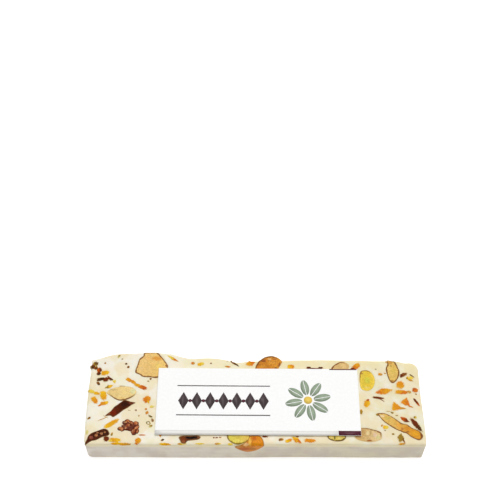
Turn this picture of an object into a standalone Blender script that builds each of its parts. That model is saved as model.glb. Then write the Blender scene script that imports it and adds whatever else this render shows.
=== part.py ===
"""A bar of white nougat with cut nuts and dried fruit in it, and a paper label lying on top.

Run it with: blender --background --python part.py

Metres, +Z up. The bar lies on its base, its length along X and its front towards -Y. The origin
is the middle of the base. Nuts and fruit are sunk in pockets of the nougat and cut by the knife,
so each one shows its cut face in the top of the bar.
"""

import math

import bmesh
import bpy
from mathutils import Euler, Matrix, Vector

MM = 0.001

# The bar: broadest over its left third, and narrower beyond a shoulder. Its front face is near
# FRONT_Y, and its widths are measured back from there.
LENGTH = 151 * MM
HEIGHT = 13.5 * MM
BROAD_WIDTH = 46.6 * MM
NARROW_WIDTH = 42.5 * MM
FRONT_Y = -23.3 * MM
SHOULDER_X = -37 * MM
SHOULDER_RUN = 3.2 * MM
FRONT_WAVE = 0.2 * MM
FRONT_WAVE_RUN = 14 * MM
END_WAVE = 0.3 * MM
END_WAVE_RUN = 6 * MM
EDGE_ROUNDING = 1.1 * MM
EDGE_SEGMENTS = 3
OUTLINE_STEP = 3 * MM
CORNER_STEPS = 4

# Swellings and hollows of the back edge: place along X, height and spread.
BACK_SWELLINGS = (
    (-75 * MM, -1.3 * MM, 9 * MM),
    (-47 * MM, 0.4 * MM, 8 * MM),
    (-21 * MM, 1.6 * MM, 9 * MM),
    (-8 * MM, -1.0 * MM, 4 * MM),
    (70 * MM, -1.2 * MM, 3 * MM),
)

# How far each upright corner is rounded, seen from above, anticlockwise from the front right.
CORNER_RADII = (1.8 * MM, 4.5 * MM, 2.4 * MM, 2.8 * MM)

# The label: a paper card lying on the bar, a little askew.
LABEL_LENGTH = 91 * MM
LABEL_WIDTH = 33.6 * MM
LABEL_THICKNESS = 0.35 * MM
LABEL_X = 1.5 * MM
LABEL_Y = -2.4 * MM
LABEL_TURN = -0.4

# Touching solids keep this gap. A cut face stands this far above the nougat round it.
GAP = 0.3 * MM
PROUD = 0.15 * MM

# A kernel's mesh before it is cut, and the share of its half depth that the knife takes off.
KERNEL_SIDES = 18
KERNEL_RINGS = 8
KNIFE_SHARE = 0.12


def clear_scene():
    """Removes every object, so that the file holds only this bar."""
    for obj in list(bpy.data.objects):
        bpy.data.objects.remove(obj)


def collection(name):
    """A new collection in the scene."""
    made = bpy.data.collections.new(name)
    bpy.context.scene.collection.children.link(made)
    return made


def linear(value):
    """One sRGB channel, 0 to 255, as the linear value that a shader takes."""
    share = value / 255
    return share / 12.92 if share <= 0.04045 else ((share + 0.055) / 1.055) ** 2.4


def material(name, colour, roughness):
    """A food or paper surface: an sRGB colour and a roughness, never metallic."""
    made = bpy.data.materials.new(name)
    made.use_nodes = True
    shader = made.node_tree.nodes["Principled BSDF"]
    shader.inputs["Base Color"].default_value = (*(linear(c) for c in colour), 1)
    shader.inputs["Roughness"].default_value = roughness
    shader.inputs["Metallic"].default_value = 0
    return made


def front_edge(x):
    """Y of the front face at x."""
    return FRONT_Y + FRONT_WAVE * (1 + math.sin(x / FRONT_WAVE_RUN)) / 2


def back_edge(x):
    """Y of the back face at x: two widths joined at the shoulder, with soft swellings."""
    broad = 1 / (1 + math.exp((x - SHOULDER_X) / SHOULDER_RUN))
    width = NARROW_WIDTH + (BROAD_WIDTH - NARROW_WIDTH) * broad
    for place, height, spread in BACK_SWELLINGS:
        width += height * math.exp(-(((x - place) / spread) ** 2))
    return FRONT_Y + width


def end_face(y, side):
    """X of the right (side 1) or left (side -1) end face at y."""
    wave = (1 + math.sin(side + y / END_WAVE_RUN)) / 2
    return side * (LENGTH / 2 - END_WAVE * wave)


def corner_arc(side, edge, towards, radius, start):
    """The points of one rounded corner, through a quarter turn anticlockwise from start.

    side is 1 at the right end and -1 at the left, edge gives the long face that meets it, and
    towards is 1 where that face is the back and -1 where it is the front.
    """
    x = end_face(edge(side * LENGTH / 2), side) - side * radius
    y = edge(x) - towards * radius
    turns = [start + math.pi / 2 * i / CORNER_STEPS for i in range(CORNER_STEPS + 1)]
    return [(x + radius * math.cos(t), y + radius * math.sin(t)) for t in turns]


def between(start, stop):
    """Evenly spaced values strictly between two, about OUTLINE_STEP apart."""
    count = max(1, round(abs(stop - start) / OUTLINE_STEP))
    return [start + (stop - start) * i / count for i in range(1, count)]


def bar_outline():
    """The bar seen from above, anticlockwise from its front right corner."""
    quarter = math.pi / 2
    front_right = corner_arc(1, front_edge, -1, CORNER_RADII[0], -quarter)
    back_right = corner_arc(1, back_edge, 1, CORNER_RADII[1], 0)
    back_left = corner_arc(-1, back_edge, 1, CORNER_RADII[2], quarter)
    front_left = corner_arc(-1, front_edge, -1, CORNER_RADII[3], 2 * quarter)
    right_end = [(end_face(y, 1), y) for y in between(front_right[-1][1], back_right[0][1])]
    back = [(x, back_edge(x)) for x in between(back_right[-1][0], back_left[0][0])]
    left_end = [(end_face(y, -1), y) for y in between(back_left[-1][1], front_left[0][1])]
    front = [(x, front_edge(x)) for x in between(front_left[-1][0], front_right[0][0])]
    return front_right + right_end + back_right + back + back_left + left_end + front_left + front


def slab(name, outline, height, surface, group):
    """A flat solid of this outline, from z 0 up to height, as a mesh object."""
    curve = bpy.data.curves.new(name, "CURVE")
    curve.dimensions = "2D"
    curve.fill_mode = "BOTH"
    curve.extrude = height / 2
    line = curve.splines.new("POLY")
    line.points.add(len(outline) - 1)
    for point, (x, y) in zip(line.points, outline):
        point.co = (x, y, 0, 1)
    line.use_cyclic_u = True
    drawn = bpy.data.objects.new(name + "_outline", curve)
    group.objects.link(drawn)
    drawn.location.z = height / 2
    bpy.context.view_layer.update()

    graph = bpy.context.evaluated_depsgraph_get()
    mesh = bpy.data.meshes.new_from_object(drawn.evaluated_get(graph))
    mesh.name = name
    solid = bpy.data.objects.new(name, mesh)
    solid.matrix_world = drawn.matrix_world.copy()
    group.objects.link(solid)
    bpy.data.objects.remove(drawn)

    bm = bmesh.new()
    bm.from_mesh(mesh)
    bmesh.ops.remove_doubles(bm, verts=bm.verts, dist=0.01 * MM)
    bmesh.ops.dissolve_limit(
        bm, angle_limit=math.radians(0.5), verts=bm.verts, edges=bm.edges
    )
    bmesh.ops.recalc_face_normals(bm, faces=bm.faces)
    bm.to_mesh(mesh)
    bm.free()
    mesh.materials.clear()
    mesh.materials.append(surface)
    return solid


def round_edges(obj, width, segments):
    """Rounds the sharp edges of obj, leaving the small turns of its outline.

    The large faces are then split into triangles, which stay flat where pockets are cut in them.
    """
    bevel = obj.modifiers.new("Rounding", "BEVEL")
    bevel.width = width
    bevel.segments = segments
    bevel.limit_method = "ANGLE"
    bevel.angle_limit = math.radians(60)
    obj.modifiers.new("Triangles", "TRIANGULATE")


def cut(obj, cutter):
    """Takes the cutter's space out of obj."""
    boolean = obj.modifiers.new(cutter.name, "BOOLEAN")
    boolean.operation = "DIFFERENCE"
    boolean.solver = "EXACT"
    boolean.object = cutter


class Kernel:
    """A nut or a piece of fruit sunk in the bar.

    x and y give its middle and length, width and depth its size before the knife, with length
    along turn, in degrees from +X. tip draws its +X end to a point, and squareness, from 0 to 1,
    takes it from an ellipsoid towards a block. tilt lifts the back of its cut face, in degrees,
    and sink lowers its middle below the knife's cut.
    """

    def __init__(self, x, y, length, width, depth, turn, **form):
        self.place = (x * MM, y * MM)
        self.size = (length * MM, width * MM, depth * MM)
        self.turn = math.radians(turn)
        self.tip = form.get("tip", 0)
        self.squareness = form.get("squareness", 0)
        self.tilt = math.radians(form.get("tilt", 0))
        self.sink = form.get("sink", 0) * MM

    def body(self, grown):
        """The whole kernel round its own origin, grown all round by a distance."""
        bm = bmesh.new()
        bmesh.ops.create_uvsphere(
            bm, u_segments=KERNEL_SIDES, v_segments=KERNEL_RINGS, radius=1
        )
        power = 1 - 0.5 * self.squareness
        for vert in bm.verts:
            across = [math.copysign(abs(c) ** power, c) for c in vert.co]
            taper = 1 - self.tip * ((1 + across[0]) / 2) ** 2
            across[1] *= taper
            half = [s / 2 + grown for s in self.size]
            vert.co = [c * h for c, h in zip(across, half)]
        return bm

    def stand(self, bm):
        """Turns and moves a body to its place in the bar."""
        height = HEIGHT + PROUD - self.sink - KNIFE_SHARE * self.size[2] / 2
        move = Matrix.Translation((*self.place, height))
        lean = Euler((self.tilt, 0, 0)).to_matrix().to_4x4()
        turn = Matrix.Rotation(self.turn, 4, "Z")
        bmesh.ops.transform(bm, matrix=move @ lean @ turn, verts=bm.verts)

    def slice_off(self, bm, point, normal):
        """Cuts the body flat with a knife through point, losing what lies beyond normal."""
        geometry = bm.verts[:] + bm.edges[:] + bm.faces[:]
        bmesh.ops.bisect_plane(
            bm, geom=geometry, plane_co=point, plane_no=normal, clear_outer=True
        )
        bmesh.ops.holes_fill(bm, edges=bm.edges)

    def pocket(self, name, group, knives):
        """The hidden cutter that opens this kernel's pocket in the nougat."""
        bm = self.body(GAP)
        self.stand(bm)
        for point, normal in knives:
            self.slice_off(bm, Vector(point) + Vector(normal).normalized() * GAP, normal)
        made = finish(name + "_pocket", bm, None, group)
        made.hide_render = True
        made.display_type = "WIRE"
        return made

    def solid(self, name, surface, group, knives):
        """The kernel itself, with the cut face that shows in the top of the bar."""
        bm = self.body(0)
        self.stand(bm)
        face = Euler((self.tilt, 0, 0)).to_matrix() @ Vector((0, 0, 1))
        self.slice_off(bm, (*self.place, HEIGHT + PROUD), face)
        for point, normal in knives:
            self.slice_off(bm, point, normal)
        return finish(name, bm, surface, group)


def finish(name, bm, surface, group):
    """Turns a bmesh into a smooth-shaded object."""
    bmesh.ops.recalc_face_normals(bm, faces=bm.faces)
    mesh = bpy.data.meshes.new(name)
    bm.to_mesh(mesh)
    bm.free()
    mesh.shade_smooth()
    mesh.set_sharp_from_angle(angle=math.radians(40))
    if surface:
        mesh.materials.append(surface)
    made = bpy.data.objects.new(name, mesh)
    group.objects.link(made)
    return made


def kernels():
    """Every nut and piece of fruit, in millimetres and degrees: its finish and its form."""
    back_of_bar = (0, back_edge(-47 * MM) - 0.2 * MM, 0)
    front_of_bar = (0, FRONT_Y - 0.4 * MM, 0)
    over_apricot = (-1.5 * MM, 0, HEIGHT)
    return {
        "almond_broad": (
            "almond",
            Kernel(-47.4, 16.6, 14.4, 13.6, 6.5, -8, squareness=0.35),
            [(back_of_bar, (0, 1, 0))],
        ),
        "almond_left": ("almond", Kernel(-60.2, 2.0, 12.8, 7.0, 5.5, 2, tip=0.2), []),
        "almond_back": (
            "almond",
            Kernel(6.4, 14.5, 12.6, 12.6, 7.5, 0, squareness=0.2, tilt=10),
            [],
        ),
        "almond_back_right": ("almond", Kernel(39.4, 13.4, 8.4, 9.8, 5.0, 0), []),
        "almond_right_end": ("almond", Kernel(63.2, 13.6, 11.0, 6.0, 5.5, 97, tip=0.15), []),
        "almond_long": ("almond", Kernel(64.5, -14.4, 22.4, 5.4, 5.4, 149, tip=0.3), []),
        "almond_pale": ("almond", Kernel(50.8, -18.2, 11.2, 6.8, 5.0, -4), []),
        "pistachio_right": ("pistachio", Kernel(51.0, 8.5, 10.6, 7.4, 6.0, 88), []),
        "pistachio_front": ("pistachio", Kernel(-7.2, -18.1, 10.2, 8.6, 4.4, 0), []),
        "pistachio_small": ("pistachio", Kernel(35.7, -18.8, 8.4, 5.8, 4.4, -4), []),
        "apricot": (
            "apricot",
            Kernel(-2.6, -20.9, 12.6, 6.6, 10.4, 0, squareness=0.2, sink=1.0),
            [(front_of_bar, (0, -1, 0)), (over_apricot, (-0.33, 0, 0.94))],
        ),
        "dark_fruit_left": (
            "dark_fruit",
            Kernel(-61.0, -5.6, 11.4, 4.8, 5.0, 36, squareness=0.5),
            [],
        ),
        "dark_fruit_corner": (
            "dark_fruit",
            Kernel(-69.0, -18.8, 11.0, 3.8, 4.4, 31, squareness=0.4),
            [],
        ),
        "dark_fruit_cluster": (
            "dark_fruit",
            Kernel(-55.8, -14.9, 9.6, 6.6, 4.6, -16, squareness=0.3),
            [],
        ),
        "dark_fruit_front": (
            "dark_fruit",
            Kernel(-28.7, -20.6, 9.0, 2.6, 3.6, 3, squareness=0.5),
            [],
        ),
    }


def build_label(surface, group):
    """The card on top of the bar, clear of the cut faces below it."""
    bm = bmesh.new()
    bmesh.ops.create_cube(bm, size=1)
    size = Matrix.Diagonal((LABEL_LENGTH, LABEL_WIDTH, LABEL_THICKNESS, 1))
    height = HEIGHT + PROUD + GAP + LABEL_THICKNESS / 2
    move = Matrix.Translation((LABEL_X, LABEL_Y, height))
    turn = Matrix.Rotation(math.radians(LABEL_TURN), 4, "Z")
    bmesh.ops.transform(bm, matrix=move @ turn @ size, verts=bm.verts)
    return finish("label", bm, surface, group)


def build():
    """The bar, its nuts and fruit, and its label."""
    clear_scene()
    bar = collection("nougat_bar")
    cutters = collection("cutters")
    surfaces = {
        "nougat": material("nougat", (240, 230, 206), 0.55),
        "almond": material("almond", (234, 198, 132), 0.5),
        "pistachio": material("pistachio", (228, 208, 96), 0.45),
        "apricot": material("apricot", (214, 134, 34), 0.35),
        "dark_fruit": material("dark_fruit", (92, 42, 26), 0.4),
        "paper": material("paper", (250, 249, 247), 0.6),
    }
    nougat = slab("nougat", bar_outline(), HEIGHT, surfaces["nougat"], bar)
    round_edges(nougat, EDGE_ROUNDING, EDGE_SEGMENTS)
    pockets = {}
    for name, (finish_name, kernel, knives) in kernels().items():
        kernel.solid(name, surfaces[finish_name], bar, knives)
        pockets[name] = kernel.pocket(name, cutters, knives)
        cut(nougat, pockets[name])
    cut(bpy.data.objects["apricot"], pockets["pistachio_front"])
    build_label(surfaces["paper"], bar)


build()
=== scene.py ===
"""The looks of a bar of white nougat with cut nuts and dried fruit, and a paper card on top.

Metres, +Z up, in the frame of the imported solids: the bar lies on its base with its length along
X and its front towards -Y. Each cut nut and fruit is drawn from the outline of its cut face; the
small chips are set into the surface by a Geometry Nodes tree from a list of places.
"""

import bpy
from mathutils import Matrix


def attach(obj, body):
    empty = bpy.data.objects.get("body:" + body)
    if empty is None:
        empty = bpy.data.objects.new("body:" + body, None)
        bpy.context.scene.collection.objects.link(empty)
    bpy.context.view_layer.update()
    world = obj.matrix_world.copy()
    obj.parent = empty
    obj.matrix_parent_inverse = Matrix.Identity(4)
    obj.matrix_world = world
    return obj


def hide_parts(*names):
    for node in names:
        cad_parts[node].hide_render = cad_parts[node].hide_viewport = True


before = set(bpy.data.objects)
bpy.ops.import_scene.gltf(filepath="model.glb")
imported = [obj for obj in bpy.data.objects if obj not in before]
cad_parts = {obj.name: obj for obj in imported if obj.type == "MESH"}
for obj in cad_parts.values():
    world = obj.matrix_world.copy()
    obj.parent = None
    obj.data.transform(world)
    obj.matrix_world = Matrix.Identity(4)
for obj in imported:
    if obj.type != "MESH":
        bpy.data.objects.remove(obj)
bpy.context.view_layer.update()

import logging
import math
import random
from dataclasses import dataclass, field
from enum import Enum
from typing import Any, Protocol, Union

import bmesh
import bpy
import numpy as np
from mathutils import Matrix, Vector, noise

MM = 0.001
BODY = "root"
LOG = logging.getLogger("nougat_bar")

Colour = tuple[float, float, float]
Place = tuple[float, float]
Input = Union[float, tuple, bpy.types.NodeSocket, bpy.types.ID, None]


def linear(value: float) -> float:
    """One sRGB channel, 0 to 255, as the linear value that a shader takes."""
    share = value / 255
    return share / 12.92 if share <= 0.04045 else ((share + 0.055) / 1.055) ** 2.4


def paint(colour: Colour) -> tuple[float, float, float, float]:
    """An sRGB colour as the four linear values of a colour socket."""
    return (*(linear(channel) for channel in colour), 1.0)


class Tone(Enum):
    """The colours of the small chips, in sRGB."""

    LEMON = (238, 206, 70)
    YELLOW = (240, 184, 14)
    GOLD = (230, 160, 6)
    AMBER = (228, 142, 0)
    ORANGE = (218, 118, 0)
    RUST = (190, 84, 8)
    TAN = (206, 148, 56)
    BROWN = (136, 80, 28)
    MAROON = (114, 46, 12)
    UMBER = (88, 52, 20)
    BLACK = (62, 36, 14)
    OLIVE = (160, 124, 22)
    MOSS = (112, 92, 24)
    PALE_GREEN = (222, 212, 132)
    GREY = (180, 158, 120)


# ---------------------------------------------------------------- node trees


class Graph:
    """A node tree being built: each call adds a node and feeds its inputs."""

    def __init__(self, tree: bpy.types.NodeTree) -> None:
        """Args: tree: the tree that the nodes go into."""
        self.tree = tree

    def node(self, kind: str, inputs: dict[Any, Input] | None = None, **settings: Any) -> bpy.types.Node:
        """Adds one node.

        Args:
            kind: the node's type name.
            inputs: what feeds each input, by name or number: a socket to link, or a value.
            **settings: properties of the node itself.

        Returns:
            The new node.
        """
        made = self.tree.nodes.new(kind)
        for name, value in settings.items():
            setattr(made, name, value)
        for key, value in (inputs or {}).items():
            self.feed(made.inputs[key], value)
        return made

    def feed(self, socket: bpy.types.NodeSocket, value: Input) -> None:
        """Links a socket to this one, or sets its value.

        Args:
            socket: the input.
            value: an output socket, or a plain value.
        """
        if isinstance(value, bpy.types.NodeSocket):
            self.tree.links.new(value, socket)
        elif value is not None:
            socket.default_value = value

    def math(self, operation: str, first: Input, second: Input = None, clamp: bool = False) -> Any:
        """A Math node's result.

        Args:
            operation: the node's operation.
            first: its first value.
            second: its second value, where the operation has one.
            clamp: whether the result is kept from 0 to 1.

        Returns:
            The output socket.
        """
        made = self.node("ShaderNodeMath", {0: first, 1: second}, operation=operation)
        made.use_clamp = clamp
        return made.outputs[0]

    def vector(self, operation: str, first: Input, second: Input = None) -> bpy.types.Node:
        """A Vector Math node.

        Args:
            operation: the node's operation.
            first: its first vector.
            second: its second vector, where the operation has one.

        Returns:
            The node, whose outputs are Vector and Value.
        """
        return self.node("ShaderNodeVectorMath", {0: first, 1: second}, operation=operation)

    def mix(self, share: Input, first: Input, second: Input, blend: str = "MIX") -> Any:
        """Two colours mixed.

        Args:
            share: how much of the second, from 0 to 1.
            first: the first colour.
            second: the second colour.
            blend: how they blend.

        Returns:
            The output socket.
        """
        made = self.node("ShaderNodeMix", {0: share, 6: first, 7: second}, data_type="RGBA")
        made.blend_type = blend
        return made.outputs[2]

    def spread(self, value: Input, low: Input, high: Input, bottom: float = 0.0, top: float = 1.0) -> Any:
        """A value eased from one range into another, and held at its ends.

        Args:
            value: the value.
            low: where the first range starts.
            high: where it ends.
            bottom: what low becomes.
            top: what high becomes.

        Returns:
            The output socket.
        """
        made = self.node(
            "ShaderNodeMapRange",
            {"Value": value, "From Min": low, "From Max": high, "To Min": bottom, "To Max": top},
            interpolation_type="SMOOTHSTEP",
        )
        return made.outputs["Result"]

    def cloud(self, vector: Input, scale: Input, detail: float = 3.0, rough: float = 0.55) -> Any:
        """Soft noise between 0 and 1.

        Args:
            vector: where it is read.
            scale: how fine it is.
            detail: its number of layers.
            rough: how strong each finer layer is.

        Returns:
            The output socket.
        """
        inputs = {"Vector": vector, "Scale": scale, "Detail": detail, "Roughness": rough}
        return self.node("ShaderNodeTexNoise", inputs).outputs["Fac"]

    def attribute(self, name: str, output: str = "Vector") -> Any:
        """The output socket of a mesh's own attribute of this name."""
        return self.node("ShaderNodeAttribute", attribute_name=name).outputs[output]


Sockets = list[tuple[str, str, Any]]


class Effects:
    """The shader groups that several finishes share, each built once."""

    def __init__(self) -> None:
        """Builds every group."""
        self.groups = {
            "mottle": self._mottle(),
            "skin_line": self._skin_line(),
            "patch": self._patch(),
            "grain": self._grain(),
        }

    @staticmethod
    def _start(name: str, inputs: Sockets, outputs: Sockets) -> tuple[Graph, Any, Any]:
        """A new group with its sockets.

        Args:
            name: the group's name.
            inputs: each input's name, kind and value.
            outputs: each output's name and kind, and None.

        Returns:
            The graph, and the group's input and output nodes.
        """
        tree = bpy.data.node_groups.new(name, "ShaderNodeTree")
        for way, sockets in (("INPUT", inputs), ("OUTPUT", outputs)):
            for label, kind, value in sockets:
                made = tree.interface.new_socket(label, in_out=way, socket_type="NodeSocket" + kind)
                if value is not None:
                    made.default_value = value
        graph = Graph(tree)
        return graph, graph.node("NodeGroupInput"), graph.node("NodeGroupOutput")

    def _mottle(self) -> bpy.types.NodeTree:
        """Soft patches, as where sugar and egg white are unevenly mixed."""
        graph, given, result = self._start(
            "mottle",
            [("Vector", "Vector", None), ("Size", "Float", 5.0), ("Contrast", "Float", 0.2)],
            [("Mask", "Float", None)],
        )
        scale = graph.math("DIVIDE", 1 / MM, given.outputs["Size"])
        cloud = graph.cloud(given.outputs["Vector"], scale, 2.5)
        low = graph.math("SUBTRACT", 0.5, given.outputs["Contrast"])
        high = graph.math("ADD", 0.5, given.outputs["Contrast"])
        graph.feed(result.inputs["Mask"], graph.spread(cloud, low, high))
        return graph.tree

    def _skin_line(self) -> bpy.types.NodeTree:
        """The thin skin that a knife leaves round a cut nut, of uneven width; on the torn cluster it marks the low
        crevices between the knobs as painted shade.
        """
        graph, given, result = self._start(
            "skin_line",
            [
                ("Place", "Vector", None),
                ("Width", "Float", 0.35),
                ("Side", "Vector", (0.0, 0.0, 0.0)),
                ("Hold", "Float", 1.0),
            ],
            [("Mask", "Float", None)],
        )
        place = given.outputs["Place"]
        rim = graph.node("ShaderNodeSeparateXYZ", {0: place}).outputs["Z"]
        wave = graph.spread(graph.cloud(place, 0.9, 2.0), 0.3, 0.7, 0.45, 1.5)
        width = graph.math("MULTIPLY", given.outputs["Width"], wave)
        inner = graph.math("MULTIPLY", width, 0.45)
        line = graph.spread(rim, inner, width, 1.0, 0.0)
        side = graph.vector("DOT_PRODUCT", place, given.outputs["Side"]).outputs["Value"]
        kept = graph.math("ADD", side, given.outputs["Hold"], clamp=True)
        graph.feed(result.inputs["Mask"], graph.math("MULTIPLY", line, kept))
        return graph.tree

    def _patch(self) -> bpy.types.NodeTree:
        """A soft-edged spot at one place on a cut face."""
        graph, given, result = self._start(
            "patch",
            [
                ("Place", "Vector", None),
                ("Centre", "Vector", (0.0, 0.0, 0.0)),
                ("Stretch", "Vector", (1.0, 1.0, 0.0)),
                ("Strength", "Float", 1.0),
            ],
            [("Mask", "Float", None)],
        )
        place = given.outputs["Place"]
        away = graph.vector("SUBTRACT", place, given.outputs["Centre"]).outputs["Vector"]
        away = graph.vector("DIVIDE", away, given.outputs["Stretch"]).outputs["Vector"]
        flat = graph.vector("MULTIPLY", away, (1.0, 1.0, 0.0)).outputs["Vector"]
        far = graph.vector("LENGTH", flat).outputs["Value"]
        ragged = graph.math("MULTIPLY", graph.math("SUBTRACT", graph.cloud(place, 0.8), 0.5), 1.1)
        edge = graph.spread(graph.math("ADD", far, ragged), 0.45, 1.1, 1.0, 0.0)
        graph.feed(result.inputs["Mask"], graph.math("MULTIPLY", edge, given.outputs["Strength"]))
        return graph.tree

    def _grain(self) -> bpy.types.NodeTree:
        """The height of a fine uneven surface: soft waves under a finer tooth."""
        graph, given, result = self._start(
            "grain",
            [("Vector", "Vector", None), ("Wave", "Float", 2.0), ("Tooth", "Float", 0.4)],
            [("Height", "Float", None)],
        )
        waves = graph.cloud(given.outputs["Vector"], graph.math("DIVIDE", 1 / MM, given.outputs["Wave"]))
        teeth = graph.cloud(given.outputs["Vector"], graph.math("DIVIDE", 1 / MM, given.outputs["Tooth"]), 2.0)
        small = graph.math("MULTIPLY", teeth, 0.25)
        graph.feed(result.inputs["Height"], graph.math("ADD", waves, small))
        return graph.tree

    def place(self, graph: Graph, name: str, inputs: dict[str, Input]) -> Any:
        """Puts a group into a material.

        Args:
            graph: the material's graph.
            name: the group's name.
            inputs: what feeds its inputs.

        Returns:
            The group's output socket.
        """
        made = graph.node("ShaderNodeGroup")
        made.node_tree = self.groups[name]
        for key, value in inputs.items():
            graph.feed(made.inputs[key], value)
        return made.outputs[0]


EFFECTS = Effects()


# ---------------------------------------------------------------- finishes


@dataclass(frozen=True)
class Gloss:
    """How a surface takes light, alike all over it."""

    roughness: float = 0.5
    specular: float = 0.4
    coat: float = 0.0
    coat_roughness: float = 0.2
    subsurface: float = 0.0
    depth: Colour = (1.2, 0.8, 0.5)

    def shader(self, graph: Graph) -> bpy.types.Node:
        """The surface's Principled shader, joined to the output.

        Args:
            graph: the material's graph.

        Returns:
            The shader node.
        """
        made = graph.node("ShaderNodeBsdfPrincipled")
        made.inputs["Roughness"].default_value = self.roughness
        made.inputs["Specular IOR Level"].default_value = self.specular
        made.inputs["Coat Weight"].default_value = self.coat
        made.inputs["Coat Roughness"].default_value = self.coat_roughness
        made.inputs["Subsurface Weight"].default_value = self.subsurface
        made.inputs["Subsurface Radius"].default_value = self.depth
        made.inputs["Subsurface Scale"].default_value = MM
        graph.node("ShaderNodeOutputMaterial", {"Surface": made.outputs[0]})
        return made


class Finish(Protocol):
    """Anything that can make a material."""

    def material(self, name: str) -> bpy.types.Material:
        """The finish as a material of this name."""


def new_material(name: str) -> tuple[bpy.types.Material, Graph]:
    """An empty material and the graph of its nodes.

    Args:
        name: the material's name.

    Returns:
        The material and its graph.
    """
    made = bpy.data.materials.new(name)
    made.use_nodes = True
    made.node_tree.nodes.clear()
    return made, Graph(made.node_tree)


def bump(graph: Graph, shader: bpy.types.Node, height: Input, distance: float) -> None:
    """Feeds a height into a shader's normal.

    Args:
        graph: the material's graph.
        shader: the shader.
        height: the height's socket.
        distance: how far a height of 1 stands up, in metres.
    """
    made = graph.node("ShaderNodeBump", {"Height": height, "Distance": distance, "Strength": 1.0})
    graph.feed(shader.inputs["Normal"], made.outputs["Normal"])


@dataclass(frozen=True)
class NougatFinish:
    """Aerated egg-white nougat: cream, drifting to pink, green and grey, with faint knife drag. Its upright faces
    take a darker, greyer tone, partly the nougat's own tint and partly painted shade, lightened towards their top
    edge as painted light.
    """

    cream: Colour = (248, 240, 223)
    rosy: Colour = (244, 229, 208)
    greenish: Colour = (235, 231, 192)
    milky: Colour = (241, 238, 226)
    toasted: Colour = (238, 219, 172)
    honeyed: Colour = (232, 221, 182)
    back_edge: Colour = (240, 227, 174)
    side_left_tint_and_shade: Colour = (224, 216, 204)
    side_right_tint_and_shade: Colour = (218, 209, 184)
    side_mauve: Colour = (203, 189, 176)
    side_top_painted_light: Colour = (244, 232, 190)
    gloss: Gloss = Gloss(0.55, 0.25, subsurface=0.18, depth=(2.2, 1.9, 1.5))

    def material(self, name: str) -> bpy.types.Material:
        """The finish as a material of this name."""
        made, graph = new_material(name)
        shader = self.gloss.shader(graph)
        at = graph.node("ShaderNodeTexCoord").outputs["Object"]
        split = graph.node("ShaderNodeSeparateXYZ", {0: at})
        rightward = graph.spread(split.outputs["X"], 0.01, 0.055)
        colour = graph.mix(rightward, paint(self.cream), paint(self.honeyed))
        layers = (
            (self.rosy, 9.0, 0.10, (0.0, 0.0, 0.0)),
            (self.greenish, 7.0, 0.12, (0.3, 0.1, 0.0)),
            (self.milky, 5.0, 0.10, (0.7, 0.2, 0.1)),
            (self.toasted, 12.0, 0.06, (0.2, 0.9, 0.4)),
        )
        for tint, size, contrast, shift in layers:
            moved = graph.vector("ADD", at, shift).outputs["Vector"]
            mask = EFFECTS.place(graph, "mottle", {"Vector": moved, "Size": size, "Contrast": contrast})
            colour = graph.mix(graph.math("MULTIPLY", mask, 0.55), colour, paint(tint))
        backward = graph.spread(split.outputs["Y"], 0.010, 0.019, 0.0, 0.6)
        past_shoulder = graph.spread(split.outputs["X"], -0.045, -0.02)
        colour = graph.mix(graph.math("MULTIPLY", backward, past_shoulder), colour, paint(self.back_edge))
        upright = self._upright(graph)
        # Upright faces: a darker, greyer tone, partly the nougat's own tint, partly painted shade.
        along = graph.spread(split.outputs["X"], -0.06, 0.05)
        side = graph.mix(along, paint(self.side_left_tint_and_shade), paint(self.side_right_tint_and_shade))
        mauve = EFFECTS.place(graph, "mottle", {"Vector": at, "Size": 11.0, "Contrast": 0.09})
        side = graph.mix(graph.math("MULTIPLY", mauve, 0.7), side, paint(self.side_mauve))
        # Painted light: the upright faces lighter towards their top edge, darker below it.
        rim = graph.spread(split.outputs["Z"], 10.6 * MM, 12.4 * MM, 0.0, 0.8)
        side = graph.mix(rim, side, paint(self.side_top_painted_light))
        colour = graph.mix(graph.math("MULTIPLY", upright, 0.85), colour, side)
        drag = graph.vector("MULTIPLY", at, (0.12, 0.12, 1.0)).outputs["Vector"]
        streak = graph.spread(graph.cloud(drag, 420.0, 3.0), 0.42, 0.62, 1.0, 0.96)
        shade = graph.node("ShaderNodeCombineColor", {0: streak, 1: streak, 2: streak}).outputs[0]
        colour = graph.mix(upright, colour, graph.mix(1.0, colour, shade, "MULTIPLY"))
        graph.feed(shader.inputs["Base Color"], colour)
        height = EFFECTS.place(graph, "grain", {"Vector": at, "Wave": 1.6, "Tooth": 0.35})
        bump(graph, shader, height, 0.12 * MM)
        return made

    @staticmethod
    def _upright(graph: Graph) -> Any:
        """A mask of the faces that stand upright.

        Args:
            graph: the material's graph.

        Returns:
            The mask's socket.
        """
        normal = graph.attribute("facing")
        up = graph.node("ShaderNodeSeparateXYZ", {0: normal}).outputs["Z"]
        return graph.spread(graph.math("ABSOLUTE", up), 0.35, 0.9, 1.0, 0.0)


@dataclass(frozen=True)
class Patch:
    """A spot of another colour on a cut face: its middle and reach in mm from the kernel's middle. Most are the
    flesh's own colour; some are painted highlights, and some painted shade.
    """

    x: float
    y: float
    across: float
    deep: float
    colour: Colour
    strength: float = 1.0


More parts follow.
